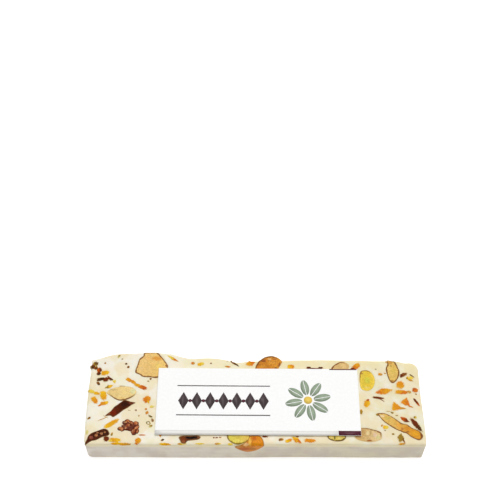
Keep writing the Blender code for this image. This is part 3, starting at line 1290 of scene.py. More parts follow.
def almonds() -> list[Kernel]:
    """The cut almonds, with their cut faces' outlines in mm."""
    return [
        Kernel(
            "almond_broad",
            "almond",
            (-47.4, 16.6),
            3.6,
            (
                (-3.4, 6.6), (-0.5, 6.8), (2.4, 6.6), (3.7, 5.2), (5.7, 2.5), (7.4, -0.4), (6.6, -3.2),
                (4.8, -5.4), (2.3, -6.5), (0, -6.1), (-3.4, -5.9), (-5.0, -4.8), (-7.0, -3.7),
                (-6.9, -1.9), (-6.3, 0.3), (-5.5, 3.4), (-4.0, 4.8),
            ),
            CutFinish(
                (236, 194, 118), (238, 196, 108), (244, 210, 140), (132, 82, 34),
                patches=(
                    Patch(2.4, 3.6, 2.8, 1.5, (228, 156, 58), 0.9),
                    Patch(-2.0, 3.8, 2.6, 1.1, (244, 192, 118), 0.6),
                    Patch(3.2, -0.4, 1.6, 1.8, (240, 206, 108), 0.7),
                    Patch(7.2, -0.2, 1.1, 0.7, (150, 76, 40), 0.9),
                    Patch(-4.6, -2.2, 1.6, 1.4, (244, 208, 140), 0.5),
                ),
                gloss=NUT_GLOSS,
            ),
            (Lump(-1.0, -1.0, 4.0, 0.14), Lump(3.4, 3.4, 1.4, -0.16), Groove((-6.2, -3.4), (-3.0, -1.6), 0.5, 0.12)),
            wall=23.35,
        ),
        Kernel(
            "almond_left",
            "almond",
            (-60.2, 2.0),
            2.8,
            (
                (-6.4, 0.3), (-5.0, 2.0), (-3.1, 2.7), (-0.2, 3.3), (2.7, 3.3), (4.6, 2.7), (6.0, 1.4),
                (6.3, 0.1), (5.1, -1.6), (2.5, -3.1), (0.3, -3.6), (-2.0, -3.1), (-3.9, -1.8), (-5.5, -0.7),
            ),
            CutFinish(
                (234, 202, 130), (240, 210, 138), (244, 216, 152), (134, 88, 36),
                skin_side=(0.0, -0.45, 0.0), skin_hold=0.1,
                patches=(
                    Patch(5.0, 1.0, 1.5, 1.6, (226, 224, 170), 0.8),
                    Patch(-3.8, 1.7, 1.8, 0.7, (206, 178, 122), 0.7),
                    Patch(1.4, 0.6, 1.8, 1.6, (244, 216, 140), 0.6),
                    Patch(0.4, -2.4, 1.7, 0.6, (232, 188, 106), 0.6),
                ),
                gloss=NUT_GLOSS,
            ),
            (Lump(0.0, 0.4, 3.0, 0.14), Groove((-4.6, -1.0), (3.6, -1.9), 0.3, 0.1)),
        ),
        Kernel(
            "almond_back",
            "almond",
            (6.4, 14.5),
            4.0,
            (
                (-5.8, 0.2), (-4.7, 3.2), (-3.0, 4.8), (-1.2, 5.9), (1.4, 6.4), (3.7, 5.8), (5.2, 4.8),
                (6.1, 3.7), (5.6, 2.5), (4.7, 0.8), (4.0, -0.6), (3.0, -4.4), (0, -6.0), (-4.8, -4.2),
            ),
            CutFinish(
                (206, 128, 26), (224, 150, 38), (190, 106, 20), (128, 76, 22),
                skin_width=0.5, skin_side=(-0.2, 0.3, 0.0), skin_hold=-0.4,
                patches=(
                    Patch(-2.2, 4.2, 1.3, 0.8, (160, 82, 22), 0.95),
                    Patch(0.6, 4.9, 1.2, 0.7, (236, 190, 118), 0.8),
                    Patch(3.0, 5.0, 1.2, 0.5, (176, 100, 42), 0.9),
                    Patch(1.8, 3.2, 2.4, 0.8, (232, 160, 54), 0.8),
                    Patch(-2.6, 1.4, 2.0, 0.9, (226, 154, 48), 0.8),
                    Patch(5.1, 2.2, 0.6, 1.4, (158, 90, 30), 0.9),
                    Patch(3.4, 0.6, 1.0, 0.5, (150, 96, 30), 0.8),
                ),
                fleck=0.22,
                gloss=NUT_GLOSS,
            ),
            (
                Lump(1.4, 3.0, 2.4, 0.2),
                Groove((-4.6, 2.2), (-0.4, 4.6), 0.35, 0.22),
                Groove((-4.8, 0.8), (4.4, 3.6), 0.3, 0.12),
                Groove((0.6, 5.6), (5.0, 3.6), 0.3, 0.14),
            ),
            slope=6.0,
            uneven=0.1,
        ),
        Kernel(
            "almond_back_right",
            "almond",
            (39.4, 13.4),
            2.6,
            (
                (-4.0, 1.0), (-2.2, 3.4), (0.6, 4.8), (2.9, 4.2), (4.0, 2.9), (3.6, 1.0), (2.2, -3.4),
                (-0.4, -4.8), (-3.2, -3.0),
            ),
            CutFinish(
                (212, 174, 108), (218, 182, 118), (236, 200, 138), (140, 82, 36),
                skin_side=(-0.3, 0.3, 0.0), skin_hold=-0.3,
                patches=(Patch(1.4, 3.0, 1.6, 1.2, (236, 202, 134), 0.6),),
                gloss=NUT_GLOSS,
            ),
            (Lump(0.4, 2.4, 2.0, 0.14),),
        ),
        Kernel(
            "almond_right_end",
            "almond",
            (63.2, 13.6),
            2.8,
            (
                (-1.7, 5.6), (0.2, 5.4), (1.7, 4.5), (2.6, 1.9), (3.2, -0.3), (2.8, -2.5), (1.6, -4.7),
                (0.4, -5.8), (-0.6, -6.0), (-1.6, -4.7), (-2.2, -2.5), (-2.6, -0.3), (-2.6, 1.4), (-1.8, 3.4),
            ),
            CutFinish(
                (230, 192, 98), (226, 184, 90), (240, 206, 118), (128, 80, 26),
                reach=3.0,
                patches=(
                    Patch(-0.3, 2.6, 0.5, 0.4, (112, 96, 20), 1.0),
                    Patch(0.4, 0.0, 1.5, 1.6, (226, 194, 88), 0.7),
                    Patch(-1.4, 1.2, 1.0, 1.6, (240, 210, 132), 0.6),
                    Patch(-0.4, -5.2, 1.3, 0.7, (176, 120, 52), 0.7),
                    Patch(-0.6, 4.3, 1.5, 1.0, (206, 146, 66), 0.9),
                    Patch(1.4, 3.9, 0.8, 0.8, (232, 196, 116), 0.7),
                ),
                gloss=NUT_GLOSS,
            ),
            (Lump(0.2, -0.8, 2.0, 0.14), Groove((-1.4, 3.2), (1.6, 2.9), 0.35, 0.14)),
        ),
        Kernel(
            "almond_long",
            "almond",
            (64.5, -14.4),
            2.6,
            (
                (-9.7, 5.9), (-8.7, 4.6), (-6.9, 2.2), (-4.3, 0.0), (-1.8, -1.7), (-0.4, -2.3), (1.0, -3.1),
                (2.4, -3.5), (4.4, -5.3), (6.2, -6.3), (7.4, -6.7), (8.6, -6.1), (9.3, -4.9), (9.0, -3.7),
                (8.0, -2.5), (6.6, -1.7), (4.9, -0.9), (3.2, 0.6), (1.7, 1.0), (0.6, 1.4), (-1.1, 2.8),
                (-3.3, 4.5), (-6.0, 6.0), (-8.2, 6.2),
            ),
            CutFinish(
                (230, 192, 104), (222, 150, 28), (224, 166, 62), (130, 76, 26),
                reach=6.0,
                skin_width=0.42,
                patches=(
                    Patch(-0.7, 0.3, 1.6, 1.1, (240, 172, 70), 0.85),
                    Patch(-5.2, 4.0, 1.6, 1.1, (206, 180, 88), 0.8),
                    Patch(-7.6, 4.9, 1.5, 0.7, (240, 214, 168), 0.8),
                    Patch(3.0, -1.4, 1.7, 1.4, (216, 140, 34), 0.9),
                    Patch(6.4, -3.9, 2.2, 1.6, (230, 164, 24), 0.8),
                    Patch(0.7, -1.6, 0.9, 0.9, (196, 128, 62), 0.8),
                    Patch(9.1, -4.6, 0.9, 1.7, (108, 58, 26), 0.9),
                    Patch(3.0, -2.9, 0.9, 0.6, (150, 92, 40), 0.7),
                ),
                gloss=NUT_GLOSS,
            ),
            (
                Groove((-0.6, 2.0), (0.8, -2.6), 0.35, 0.3),
                Groove((1.6, 0.6), (8.0, -4.9), 0.6, 0.12),
                Lump(-4.0, 2.4, 2.2, 0.14),
                Lump(5.4, -3.4, 2.4, 0.16),
            ),
        ),
        Kernel(
            "almond_pale",
            "almond",
            (50.8, -18.2),
            2.5,
            (
                (-4.3, 2.5), (-2.6, 2.7), (-0.7, 2.6), (0.9, 2.1), (3.0, 1.5), (4.6, 0.7), (4.9, -0.5),
                (4.6, -2.3), (2.7, -3.3), (0.4, -3.8), (-1.2, -3.8), (-3.5, -3.3), (-5.3, -2.7),
                (-6.4, -1.6), (-6.0, 0.8),
            ),
            CutFinish(
                (206, 168, 106), (228, 202, 146), (230, 190, 122), (140, 90, 38),
                reach=4.0,
                skin_side=(0.15, 0.35, 0.0), skin_hold=0.1,
                patches=(
                    Patch(-3.2, 0.6, 1.5, 1.7, (196, 156, 92), 0.8),
                    Patch(-1.0, 0.2, 0.9, 1.1, (240, 216, 156), 0.9),
                    Patch(-0.4, -3.3, 1.5, 0.45, (164, 90, 32), 1.0),
                    Patch(0.3, 0.3, 0.5, 1.3, (184, 152, 92), 0.6),
                    Patch(2.2, -0.6, 0.9, 1.4, (236, 204, 176), 0.8),
                    Patch(3.4, -1.8, 0.9, 1.0, (216, 208, 142), 0.8),
                    Patch(4.4, 0.7, 0.6, 0.5, (134, 84, 30), 0.9),
                    Patch(-4.3, 1.6, 0.7, 1.0, (128, 90, 36), 0.9),
                ),
                gloss=NUT_GLOSS,
            ),
            (
                Groove((0.8, 2.0), (-0.8, -3.0), 0.3, 0.22),
                Step(1.2, 0.0, (1.0, 0.1), 0.09),
                Step(-2.2, 0.0, (-1.0, 0.0), 0.1),
                Lump(-0.9, 0.4, 0.9, 0.14),
            ),
        ),
    ]


def pistachios() -> list[Kernel]:
    """The cut pistachios."""
    return [
        Kernel(
            "pistachio_right",
            "pistachio",
            (51.0, 8.5),
            3.0,
            (
                (-2.4, 4.1), (-0.3, 5.2), (1.9, 4.6), (3.4, 2.3), (3.7, -0.3), (2.8, -3.2), (1.0, -4.8),
                (-1.0, -4.8), (-2.4, -3.9), (-2.9, -1.0),
            ),
            CutFinish(
                (224, 196, 60), (238, 200, 52), (236, 208, 84), (160, 118, 24),
                reach=3.0,
                inner=(246, 212, 78),
                skin_side=(-0.2, 0.25, 0.0), skin_hold=-0.2,
                patches=(
                    Patch(0.4, 0.2, 1.6, 2.2, (212, 204, 70), 0.85),
                    Patch(-1.8, 3.6, 0.9, 0.5, (150, 84, 48), 0.7),
                    Patch(2.3, 1.9, 0.8, 1.2, (238, 202, 72), 0.6),
                    Patch(0.2, -3.6, 1.5, 0.7, (240, 214, 118), 0.7),
                ),
                gloss=NUT_GLOSS,
            ),
            (Lump(0.2, 0.0, 2.2, 0.18), Groove((-0.4, 4.0), (0.6, -3.6), 0.3, 0.08)),
        ),
        Kernel(
            "pistachio_front",
            "pistachio",
            (-7.2, -18.1),
            2.6,
            (
                (-4.9, -1.2), (-4.3, -2.9), (-2.9, -4.2), (-1.5, -4.8), (0.1, -5.0), (2.1, -4.5),
                (3.7, -3.8), (4.7, -2.4), (5.0, -1.2), (4.4, 2.0), (1.5, 3.8), (-2.2, 3.6), (-4.6, 1.4),
            ),
            CutFinish(
                (220, 204, 80), (228, 192, 80), (238, 218, 100), (140, 112, 28),
                reach=4.0, skin_width=0.45,
                patches=(
                    Patch(-0.4, -3.6, 2.2, 0.8, (240, 222, 104), 0.8),
                    Patch(-0.6, -1.6, 2.4, 0.6, (196, 176, 74), 0.7),
                    Patch(2.8, -2.6, 1.2, 0.9, (224, 190, 96), 0.7),
                ),
                gloss=NUT_GLOSS,
            ),
            (Lump(-0.2, -2.6, 2.4, 0.14),),
        ),
        Kernel(
            "pistachio_small",
            "pistachio",
            (35.7, -18.8),
            2.2,
            (
                (-3.5, -0.6), (-3.0, -1.8), (-1.7, -2.5), (-0.1, -2.9), (2.1, -2.8), (3.5, -2.1),
                (4.2, -0.8), (3.0, 1.8), (0.0, 2.8), (-2.8, 1.8),
            ),
            CutFinish(
                (222, 196, 90), (220, 190, 94), (210, 196, 76), (104, 76, 22),
                reach=3.0, skin_width=0.5,
                patches=(
                    Patch(-0.6, -1.4, 0.45, 1.0, (104, 96, 34), 0.9),
                    Patch(1.5, -1.7, 0.9, 0.6, (236, 212, 126), 0.8),
                    Patch(-2.0, -1.3, 0.8, 0.6, (238, 210, 130), 0.8),
                ),
                gloss=NUT_GLOSS,
            ),
            (Groove((-0.6, 0.0), (-0.4, -2.8), 0.3, 0.2), Lump(1.5, -1.4, 1.0, 0.14), Lump(-2.0, -1.2, 0.9, 0.12)),
        ),
    ]


def fruits() -> list[Kernel | Cluster]:
    """The apricot over the front edge and the dark dried fruit."""
    return [
        EdgeKernel(
            "apricot",
            "apricot",
            (-1.0, -2.4),
            4.0,
            (
                (-0.9, 6.4), (2.9, 6.4), (4.3, 4.8), (4.8, 2.8), (4.7, 1.5), (4.1, 0.3), (2.5, -1.6),
                (0.5, -3.2), (-2.1, -3.9), (-4.1, -3.2), (-6.1, -1.4), (-7.5, 0.6), (-6.9, 1.7),
                (-5.4, 2.2), (-4.1, 2.8), (-2.9, 3.7), (-1.9, 4.8),
            ),
            CutFinish(
                (196, 120, 26), (228, 140, 14), (214, 128, 16), (176, 112, 30),
                reach=5.0, skin_width=0.3,
                patches=(
                    Patch(-3.2, -0.6, 3.4, 1.6, (184, 90, 10), 0.95),
                    Patch(0.2, -1.0, 2.0, 1.2, (176, 104, 12), 0.9),
                    Patch(1.8, 3.2, 2.0, 1.4, (234, 148, 18), 0.85),
                    # Painted highlights: the yellow spot in the middle and the peach spot beside it.
                    Patch(-1.2, 3.8, 0.9, 2.2, (244, 190, 78), 0.9),
                    Patch(-3.0, 2.6, 1.5, 0.9, (242, 200, 138), 0.95),
                    Patch(0.8, 5.4, 1.3, 1.0, (200, 98, 0), 0.95),
                    Patch(-6.2, 1.2, 1.2, 0.9, (208, 150, 76), 0.8),
                ),
                speckle=0.25,
                gloss=FRUIT_GLOSS,
            ),
            (Lump(2.6, 3.4, 2.4, 0.25), Lump(-3.0, -0.8, 2.4, 0.2)),
            proud=0.18,
        ),
        Kernel(
            "dark_fruit_left",
            "dark_fruit",
            (-61.0, -5.6),
            2.8,
            (
                (-5.4, -3.5), (-3.3, -1.4), (-1.8, 0.7), (-0.6, 1.7), (1.4, 3.4), (2.6, 4.0), (4.9, 3.2),
                (7.1, 2.7), (5.6, 1.7), (3.8, 0.2), (2.2, -0.8), (0.8, -2.1), (-0.4, -3.1), (-2.0, -4.2),
                (-3.2, -3.5),
            ),
            CutFinish(
                (116, 44, 14), (74, 30, 8), (54, 20, 6), (104, 54, 26),
                reach=3.2, speckle=0.55, skin_width=0.4, fleck=0.25,
                patches=(
                    Patch(5.4, 2.6, 1.4, 0.8, (118, 54, 34), 0.8),
                    Patch(-2.0, -2.2, 1.5, 1.3, (124, 34, 10), 0.8),
                    Patch(-4.3, -2.9, 0.9, 0.6, (170, 106, 62), 0.7),
                    Patch(2.4, 1.8, 2.0, 1.4, (52, 22, 14), 0.7),
                ),
                relief=0.3,
                gloss=DARK_GLOSS,
            ),
            (
                Groove((-3.0, -2.8), (4.4, 2.2), 0.5, 0.18),
                Lump(-2.2, -2.6, 1.2, 0.22),
                Lump(2.4, 2.2, 1.6, 0.2),
            ),
            uneven=0.12,
            proud=0.2,
        ),
        Kernel(
            "dark_fruit_corner",
            "dark_fruit",
            (-69.0, -18.8),
            2.5,
            (
                (-5.3, -4.0), (-4.7, -2.4), (-4.1, -0.4), (-2.8, 0.9), (-0.5, 1.9), (2.0, 2.9), (3.5, 2.5),
                (4.2, 1.7), (4.6, 0.4), (3.8, -0.4), (1.6, -1.0), (-0.5, -2.2), (-2.6, -2.8), (-4.2, -3.8),
            ),
            CutFinish(
                (100, 44, 24), (80, 40, 20), (52, 20, 8), (92, 46, 18),
                reach=3.5, skin_width=0.4, speckle=0.7, fleck=0.4,
                patches=(
                    # The light spots below sit on the lumps: lighter sugar crystals, partly painted highlights.
                    Patch(-2.9, -1.3, 1.2, 0.9, (154, 82, 62), 0.9),
                    Patch(-0.9, -0.3, 0.9, 0.7, (186, 122, 76), 1.0),
                    Patch(1.4, 0.6, 0.9, 0.6, (196, 134, 90), 1.0),
                    Patch(-0.4, 1.0, 0.7, 0.45, (186, 126, 84), 1.0),
                    Patch(2.9, 1.2, 0.6, 0.5, (178, 120, 76), 0.9),
                    # The dark spots below fill the gaps between the lumps: painted shade.
                    Patch(0.4, 0.1, 0.5, 0.7, (44, 18, 8), 0.9),
                    Patch(-1.9, -0.9, 0.4, 0.7, (48, 18, 8), 0.9),
                    Patch(2.3, 0.4, 0.4, 0.8, (44, 20, 10), 0.9),
                    Patch(-4.2, -0.6, 0.6, 1.0, (134, 92, 44), 0.6),
                ),
                relief=0.35,
                gloss=DARK_GLOSS,
            ),
            (
                Lump(-3.0, -1.4, 1.0, 0.2),
                Lump(-0.8, -0.4, 0.7, 0.24),
                Lump(1.4, 0.6, 0.6, 0.26),
                Lump(3.0, 1.2, 0.6, 0.2),
            ),
            uneven=0.16,
            proud=0.2,
        ),
        Kernel(
            "dark_fruit_front",
            "dark_fruit",
            (-28.7, -20.6),
            1.8,
            (
                (-4.4, 0.7), (-2.9, 1.3), (0.2, 1.4), (3.2, 1.4), (4.5, 0.8), (3.7, -0.3), (1.1, -0.7),
                (-1.1, -1.1), (-1.7, -2.1), (-3.2, -2.0), (-3.9, -0.7),
            ),
            CutFinish(
                (128, 62, 26), (34, 22, 14), (70, 38, 22), (120, 74, 40),
                reach=2.6, speckle=0.4,
                patches=(
                    Patch(0.6, 0.6, 3.0, 1.0, (20, 12, 12), 1.0),
                    Patch(3.9, 0.6, 0.7, 0.6, (140, 84, 60), 0.9),
                    Patch(-2.6, -1.4, 0.9, 0.7, (164, 96, 56), 0.7),
                ),
                relief=0.3,
                gloss=DARK_GLOSS,
            ),
            uneven=0.1,
        ),
        Cluster(
            "dark_fruit_cluster",
            "dark_fruit",
            (-55.8, -14.9),
            3.4,
            (
                (-3.5, -0.8, 1.5, 0.75), (-2.0, 0.4, 1.5, 0.6), (-0.9, 2.7, 1.5, 0.7), (-2.3, 2.1, 1.1, 0.4),
                (-0.2, 0.9, 1.5, 0.7), (1.1, 1.9, 1.4, 0.65), (3.1, 1.6, 1.5, 0.8), (1.5, 0.1, 1.6, 0.6),
                (3.5, -0.5, 1.6, 0.75), (3.9, -2.2, 1.4, 0.55), (2.2, -2.2, 1.6, 0.75), (0.7, -1.1, 1.3, 0.5),
                (2.5, -3.3, 1.2, 0.5), (-1.2, -0.8, 1.3, 0.5), (-2.8, -1.5, 1.1, 0.4),
            ),
            CutFinish(
                # The pale mottled tone is the fruit's lighter flesh, partly painted highlight.
                (190, 106, 48), (172, 84, 36), (230, 158, 104), (98, 36, 12),
                # skin and skin_width: the dark tone of the low crevices between the knobs, painted shade.
                skin_width=1.0, speckle=0.8, fleck=0.35,
                patches=(
                    # Painted highlights: the light spots at (-2.1, 1.9), (-0.8, -0.9) and (1.5, -2.1).
                    Patch(-2.1, 1.9, 0.9, 0.7, (206, 174, 122), 0.8),
                    Patch(-0.8, -0.9, 0.9, 0.5, (222, 168, 124), 0.8),
                    Patch(-0.6, 0.7, 0.9, 0.9, (160, 70, 40), 0.8),
                    Patch(1.5, -2.1, 1.0, 0.6, (206, 150, 112), 0.8),
                    Patch(1.6, 0.0, 1.4, 1.4, (84, 20, 10), 0.9),
                    Patch(-1.9, 0.5, 0.7, 0.8, (78, 32, 16), 0.9),
                    Patch(3.0, 0.4, 1.0, 0.9, (138, 60, 46), 0.7),
                    Patch(2.4, -3.4, 1.2, 0.7, (146, 56, 20), 0.8),
                ),
                relief=0.3,
                gloss=Gloss(0.28, 0.16),
            ),
        ),
    ]


# ---------------------------------------------------------------- small chips


@dataclass(frozen=True)
class ChipForm:
    """A chip's outline.

    power is its squareness: 1 is a lozenge, 2 an oval, 5 a block. corners cuts it to a polygon, by
    the share crisp. taper narrows one end, bend bows it, and hollow leaves its middle low.
    """

    power: float
    corners: int = 4
    crisp: float = 0.0
    taper: float = 0.0
    bend: float = 0.0
    ragged: float = 0.0
    hollow: float = 0.0

    def reach(self, turns: np.ndarray) -> np.ndarray:
        """How far the outline lies from the middle in each direction, 1 being half its length.

        Args:
            turns: the directions, in radians.

        Returns:
            One distance a direction.
        """
        cosine, sine = np.abs(np.cos(turns)), np.abs(np.sin(turns))
        oval = (cosine**self.power + sine**self.power) ** (-1 / self.power)
        wedge = math.pi / self.corners
        polygon = math.cos(wedge) / np.cos(turns % (2 * wedge) - wedge) * 1.15
        return oval + (polygon - oval) * self.crisp


class Shape(Enum):
    """The forms that a chip can have, in the order of their meshes."""

    LEAF = ChipForm(1.2, taper=0.15, bend=0.05, ragged=0.05)
    WEDGE = ChipForm(2.0, corners=3, crisp=0.8, ragged=0.05)
    LUMP = ChipForm(2.1, corners=5, crisp=0.35, taper=0.1, ragged=0.12)
    BLOCK = ChipForm(4.0, corners=5, crisp=0.35, taper=0.2, ragged=0.08)
    SLIVER = ChipForm(1.9, taper=0.3, bend=0.06, ragged=0.05)
    CURL = ChipForm(2.2, taper=0.2, bend=0.9, ragged=0.08)
    RING = ChipForm(2.0, ragged=0.1, hollow=0.35)


@dataclass(frozen=True)
class Chip:
    """One chip: its form, middle, length, width and turn, in mm and degrees, and its two tones."""

    shape: Shape
    x: float
    y: float
    length: float
    width: float
    turn: float
    start: Tone
    stop: Tone


class Side(Enum):
    """The faces of the bar, with the direction that each looks in."""

    TOP = (0, 0, 1)
    FRONT = (0, -1, 0)
    BACK = (0, 1, 0)
    RIGHT = (1, 0, 0)
    LEFT = (-1, 0, 0)
    BASE = (0, 0, -1)


@dataclass
class Setting:
    """A chip with its place on the skin and the direction that the skin faces there."""

    chip: Chip
    at: Vector
    out: Vector


class ChipSetter:
    """Works out where chips lie on the bar."""

    def __init__(self, shape: BarShape) -> None:
        """Args: shape: the bar."""
        self.shape = shape

    def level(self, x: float, y: float) -> float:
        """Height of the bar's top at a place, with its rounded edge.

        Args:
            x: along the bar.
            y: across it.

        Returns:
            Z of the skin.
        """
        return self.shape.height - float(self.shape.sag(np.array([[x, y]]))[0])

    def on_top(self, chip: Chip) -> Setting:
        """Sets a chip in the top, leaning with the rounded edge where it lies near one.

        Args:
            chip: the chip.

        Returns:
            The chip with its place.
        """
        x, y, step = chip.x * MM, chip.y * MM, 0.25 * MM
        back = y - self.shape.front(x)
        if back < 2 * self.shape.rounding:
            at, out = self.shape.wrap(x, back, 0)
            return Setting(chip, at, out)
        rise_x = (self.level(x + step, y) - self.level(x - step, y)) / (2 * step)
        rise_y = (self.level(x, y + step) - self.level(x, y - step)) / (2 * step)
        out = Vector((-rise_x, -rise_y, 1)).normalized()
        return Setting(chip, Vector((x, y, self.level(x, y))), out)

    def on_side(self, chip: Chip, side: Side) -> Setting:
        """Sets a chip in another face: its x runs along the face and its y up it.

        Args:
            chip: the chip.
            side: the face.

        Returns:
            The chip with its place.
        """
        along, up = chip.x * MM, chip.y * MM
        low = np.clip(1 - up / self.shape.height, 0, 1) ** 1.3
        places = {
            Side.TOP: Vector((along, up, self.shape.height)),
            Side.FRONT: Vector((along, self.shape.front(along), up)),
            Side.BACK: Vector((along, self.shape.back(along), up)),
            Side.RIGHT: Vector((self.shape.end(along, 1) - 1.3 * MM * low, along, up)),
            Side.LEFT: Vector((self.shape.end(along, -1) + 0.58 * MM * low, along, up)),
            Side.BASE: Vector((along, up, 0.1 * MM)),
        }
        return Setting(chip, places[side], Vector(side.value))


@dataclass
class ChipFamily:
    """All chips of one kind, set into the bar and joined in one piece."""

    name: str
    slot: str
    settings: list[Setting]
    finish: ChipFinish
    thickness: float = 0.9 * MM
    proud: float = 0.02 * MM
    wobble: float = 0.55 * MM
    wobble_size: float = 0.9 * MM

    POINTS = 24
    LEVELS = (
        (0.0, 0.1), (0.4, 0.1), (0.7, 0.075), (0.9, 0.035), (1.05, 0.01), (1.22, -0.01), (1.24, -0.1),
        (0.95, -0.4), (0.5, -0.8), (0.0, -1.0),
    )

    def build(self, forms: bpy.types.Collection, bar: bpy.types.Object) -> bpy.types.Object:
        """Makes the piece.

        Args:
            forms: the collection of chip meshes, one for each Shape.
            bar: the bar whose skin they lie in.

        Returns:
            The finished piece.
        """
        surface = self.finish.material(self.name)
        mesh = bpy.data.meshes.new(self.name)
        mesh.from_pydata([tuple(s.at) for s in self.settings], [], [])
        keep_vectors(mesh, "facing", np.array([tuple(s.out) for s in self.settings]))
        sizes = [(s.chip.length * MM, s.chip.width * MM, self.thickness) for s in self.settings]
        keep_vectors(mesh, "size", np.array(sizes))
        spins = [math.radians(s.chip.turn) for s in self.settings]
        mesh.attributes.new("spin", "FLOAT", "POINT").data.foreach_set("value", spins)
        kinds = [list(Shape).index(s.chip.shape) for s in self.settings]
        mesh.attributes.new("shape", "INT", "POINT").data.foreach_set("value", kinds)
        for name, end in (("tone_from", "start"), ("tone_to", "stop")):
            tones = [channel for s in self.settings for channel in paint(getattr(s.chip, end).value)]
            mesh.attributes.new(name, "FLOAT_COLOR", "POINT").data.foreach_set("color", tones)
        held = bpy.data.objects.new(self.name, mesh)
        bpy.context.scene.collection.objects.link(held)
        setter = held.modifiers.new("Chips", "NODES")
        tree, sockets = self._tree()
        setter.node_group = tree
        values = {
            "Forms": forms,
            "Bar": bar,
            "Finish": surface,
            "Proud": self.proud,
            "Wobble": self.wobble,
            "Wobble Size": self.wobble_size,
        }
        for label, value in values.items():
            setter[sockets[label]] = value
        made = applied(held, self.name)
        points = points_of(made)
        points[:, 2] = np.maximum(points[:, 2], 0.0)
        move_points(made, points)
        piece = new_piece(self.name, made, surface)
        hand_over(piece, self.slot)
        return piece

    @staticmethod
    def _tree() -> tuple[bpy.types.NodeTree, dict[str, str]]:
        """The tree that puts a form on every point, turns and sizes it, and roughens it.

        Returns:
            The tree, and the identifier of each of its named inputs.
        """
        tree = bpy.data.node_groups.new("Set chips", "GeometryNodeTree")
        sockets = {}
        tree.interface.new_socket("Geometry", in_out="INPUT", socket_type="NodeSocketGeometry")
        for label, kind in (
            ("Forms", "Collection"),
            ("Bar", "Object"),
            ("Finish", "Material"),
            ("Proud", "Float"),
            ("Wobble", "Float"),
            ("Wobble Size", "Float"),
        ):
            made = tree.interface.new_socket(label, in_out="INPUT", socket_type="NodeSocket" + kind)
            sockets[label] = made.identifier
        tree.interface.new_socket("Geometry", in_out="OUTPUT", socket_type="NodeSocketGeometry")
        graph = Graph(tree)
        given, result = graph.node("NodeGroupInput"), graph.node("NodeGroupOutput")

        def named(name: str, kind: str) -> Any:
            """The output socket of an attribute of the points."""
            return graph.node("GeometryNodeInputNamedAttribute", {"Name": name}, data_type=kind).outputs[0]

        forms = graph.node("GeometryNodeCollectionInfo", {"Collection": given.outputs["Forms"]})
        forms.inputs["Separate Children"].default_value = True
        forms.inputs["Reset Children"].default_value = True
        faced = graph.node(
            "FunctionNodeAlignRotationToVector", {"Vector": named("facing", "FLOAT_VECTOR")}, axis="Z"
        )
        spin = graph.node("FunctionNodeAxisAngleToRotation", {"Axis": (0, 0, 1), "Angle": named("spin", "FLOAT")})
        turned = graph.node(
            "FunctionNodeRotateRotation",
            {"Rotation": faced.outputs[0], "Rotate By": spin.outputs[0]},
            rotation_space="LOCAL",
        )
        placed = graph.node(
            "GeometryNodeInstanceOnPoints",
            {
                "Points": given.outputs["Geometry"],
                "Instance": forms.outputs[0],
                "Pick Instance": True,
                "Instance Index": named("shape", "INT"),
                "Rotation": turned.outputs[0],
                "Scale": named("size", "FLOAT_VECTOR"),
            },
        )
        real = graph.node("GeometryNodeRealizeInstances", {"Geometry": placed.outputs[0]})
        at = graph.node("GeometryNodeInputPosition").outputs[0]
        scale = graph.math("DIVIDE", 1.0, given.outputs["Wobble Size"])
        cloud = graph.node("ShaderNodeTexNoise", {"Vector": at, "Scale": scale, "Detail": 1.5})
        drift = graph.vector("SUBTRACT", cloud.outputs["Color"], (0.5, 0.5, 0.5)).outputs[0]
        push = graph.node("ShaderNodeVectorMath", {0: drift}, operation="SCALE")
        graph.feed(push.inputs["Scale"], given.outputs["Wobble"])
        ragged = graph.node(
            "GeometryNodeSetPosition", {"Geometry": real.outputs[0], "Offset": push.outputs[0]}
        )
        out, at = named("facing", "FLOAT_VECTOR"), graph.node("GeometryNodeInputPosition").outputs[0]
        skin = graph.node("GeometryNodeObjectInfo", {"Object": given.outputs["Bar"]}).outputs["Geometry"]
        above = graph.vector("ADD", at, graph.vector("MULTIPLY", out, (0.003,) * 3).outputs[0]).outputs[0]
        inward = graph.vector("MULTIPLY", out, (-1.0,) * 3).outputs[0]
        cast = {"Target Geometry": skin, "Source Position": above, "Ray Direction": inward}
        found = graph.node("GeometryNodeRaycast", {**cast, "Ray Length": 0.008})
        tall = graph.vector("MULTIPLY", named("rise", "FLOAT_VECTOR"), named("size", "FLOAT_VECTOR")).outputs[0]
        height = graph.node("ShaderNodeSeparateXYZ", {0: tall}).outputs["Z"]
        lifted = graph.node("ShaderNodeVectorMath", {0: out}, operation="SCALE")
        graph.feed(lifted.inputs["Scale"], graph.math("ADD", height, given.outputs["Proud"]))
        there = graph.vector("ADD", found.outputs["Hit Position"], lifted.outputs[0]).outputs[0]
        moved = graph.node(
            "GeometryNodeSetPosition",
            {"Geometry": ragged.outputs[0], "Selection": found.outputs["Is Hit"], "Position": there},
        )
        inputs = {"Geometry": moved.outputs[0], "Material": given.outputs["Finish"]}
        finished = graph.node("GeometryNodeSetMaterial", inputs)
        graph.feed(result.inputs["Geometry"], finished.outputs[0])
        return tree, sockets


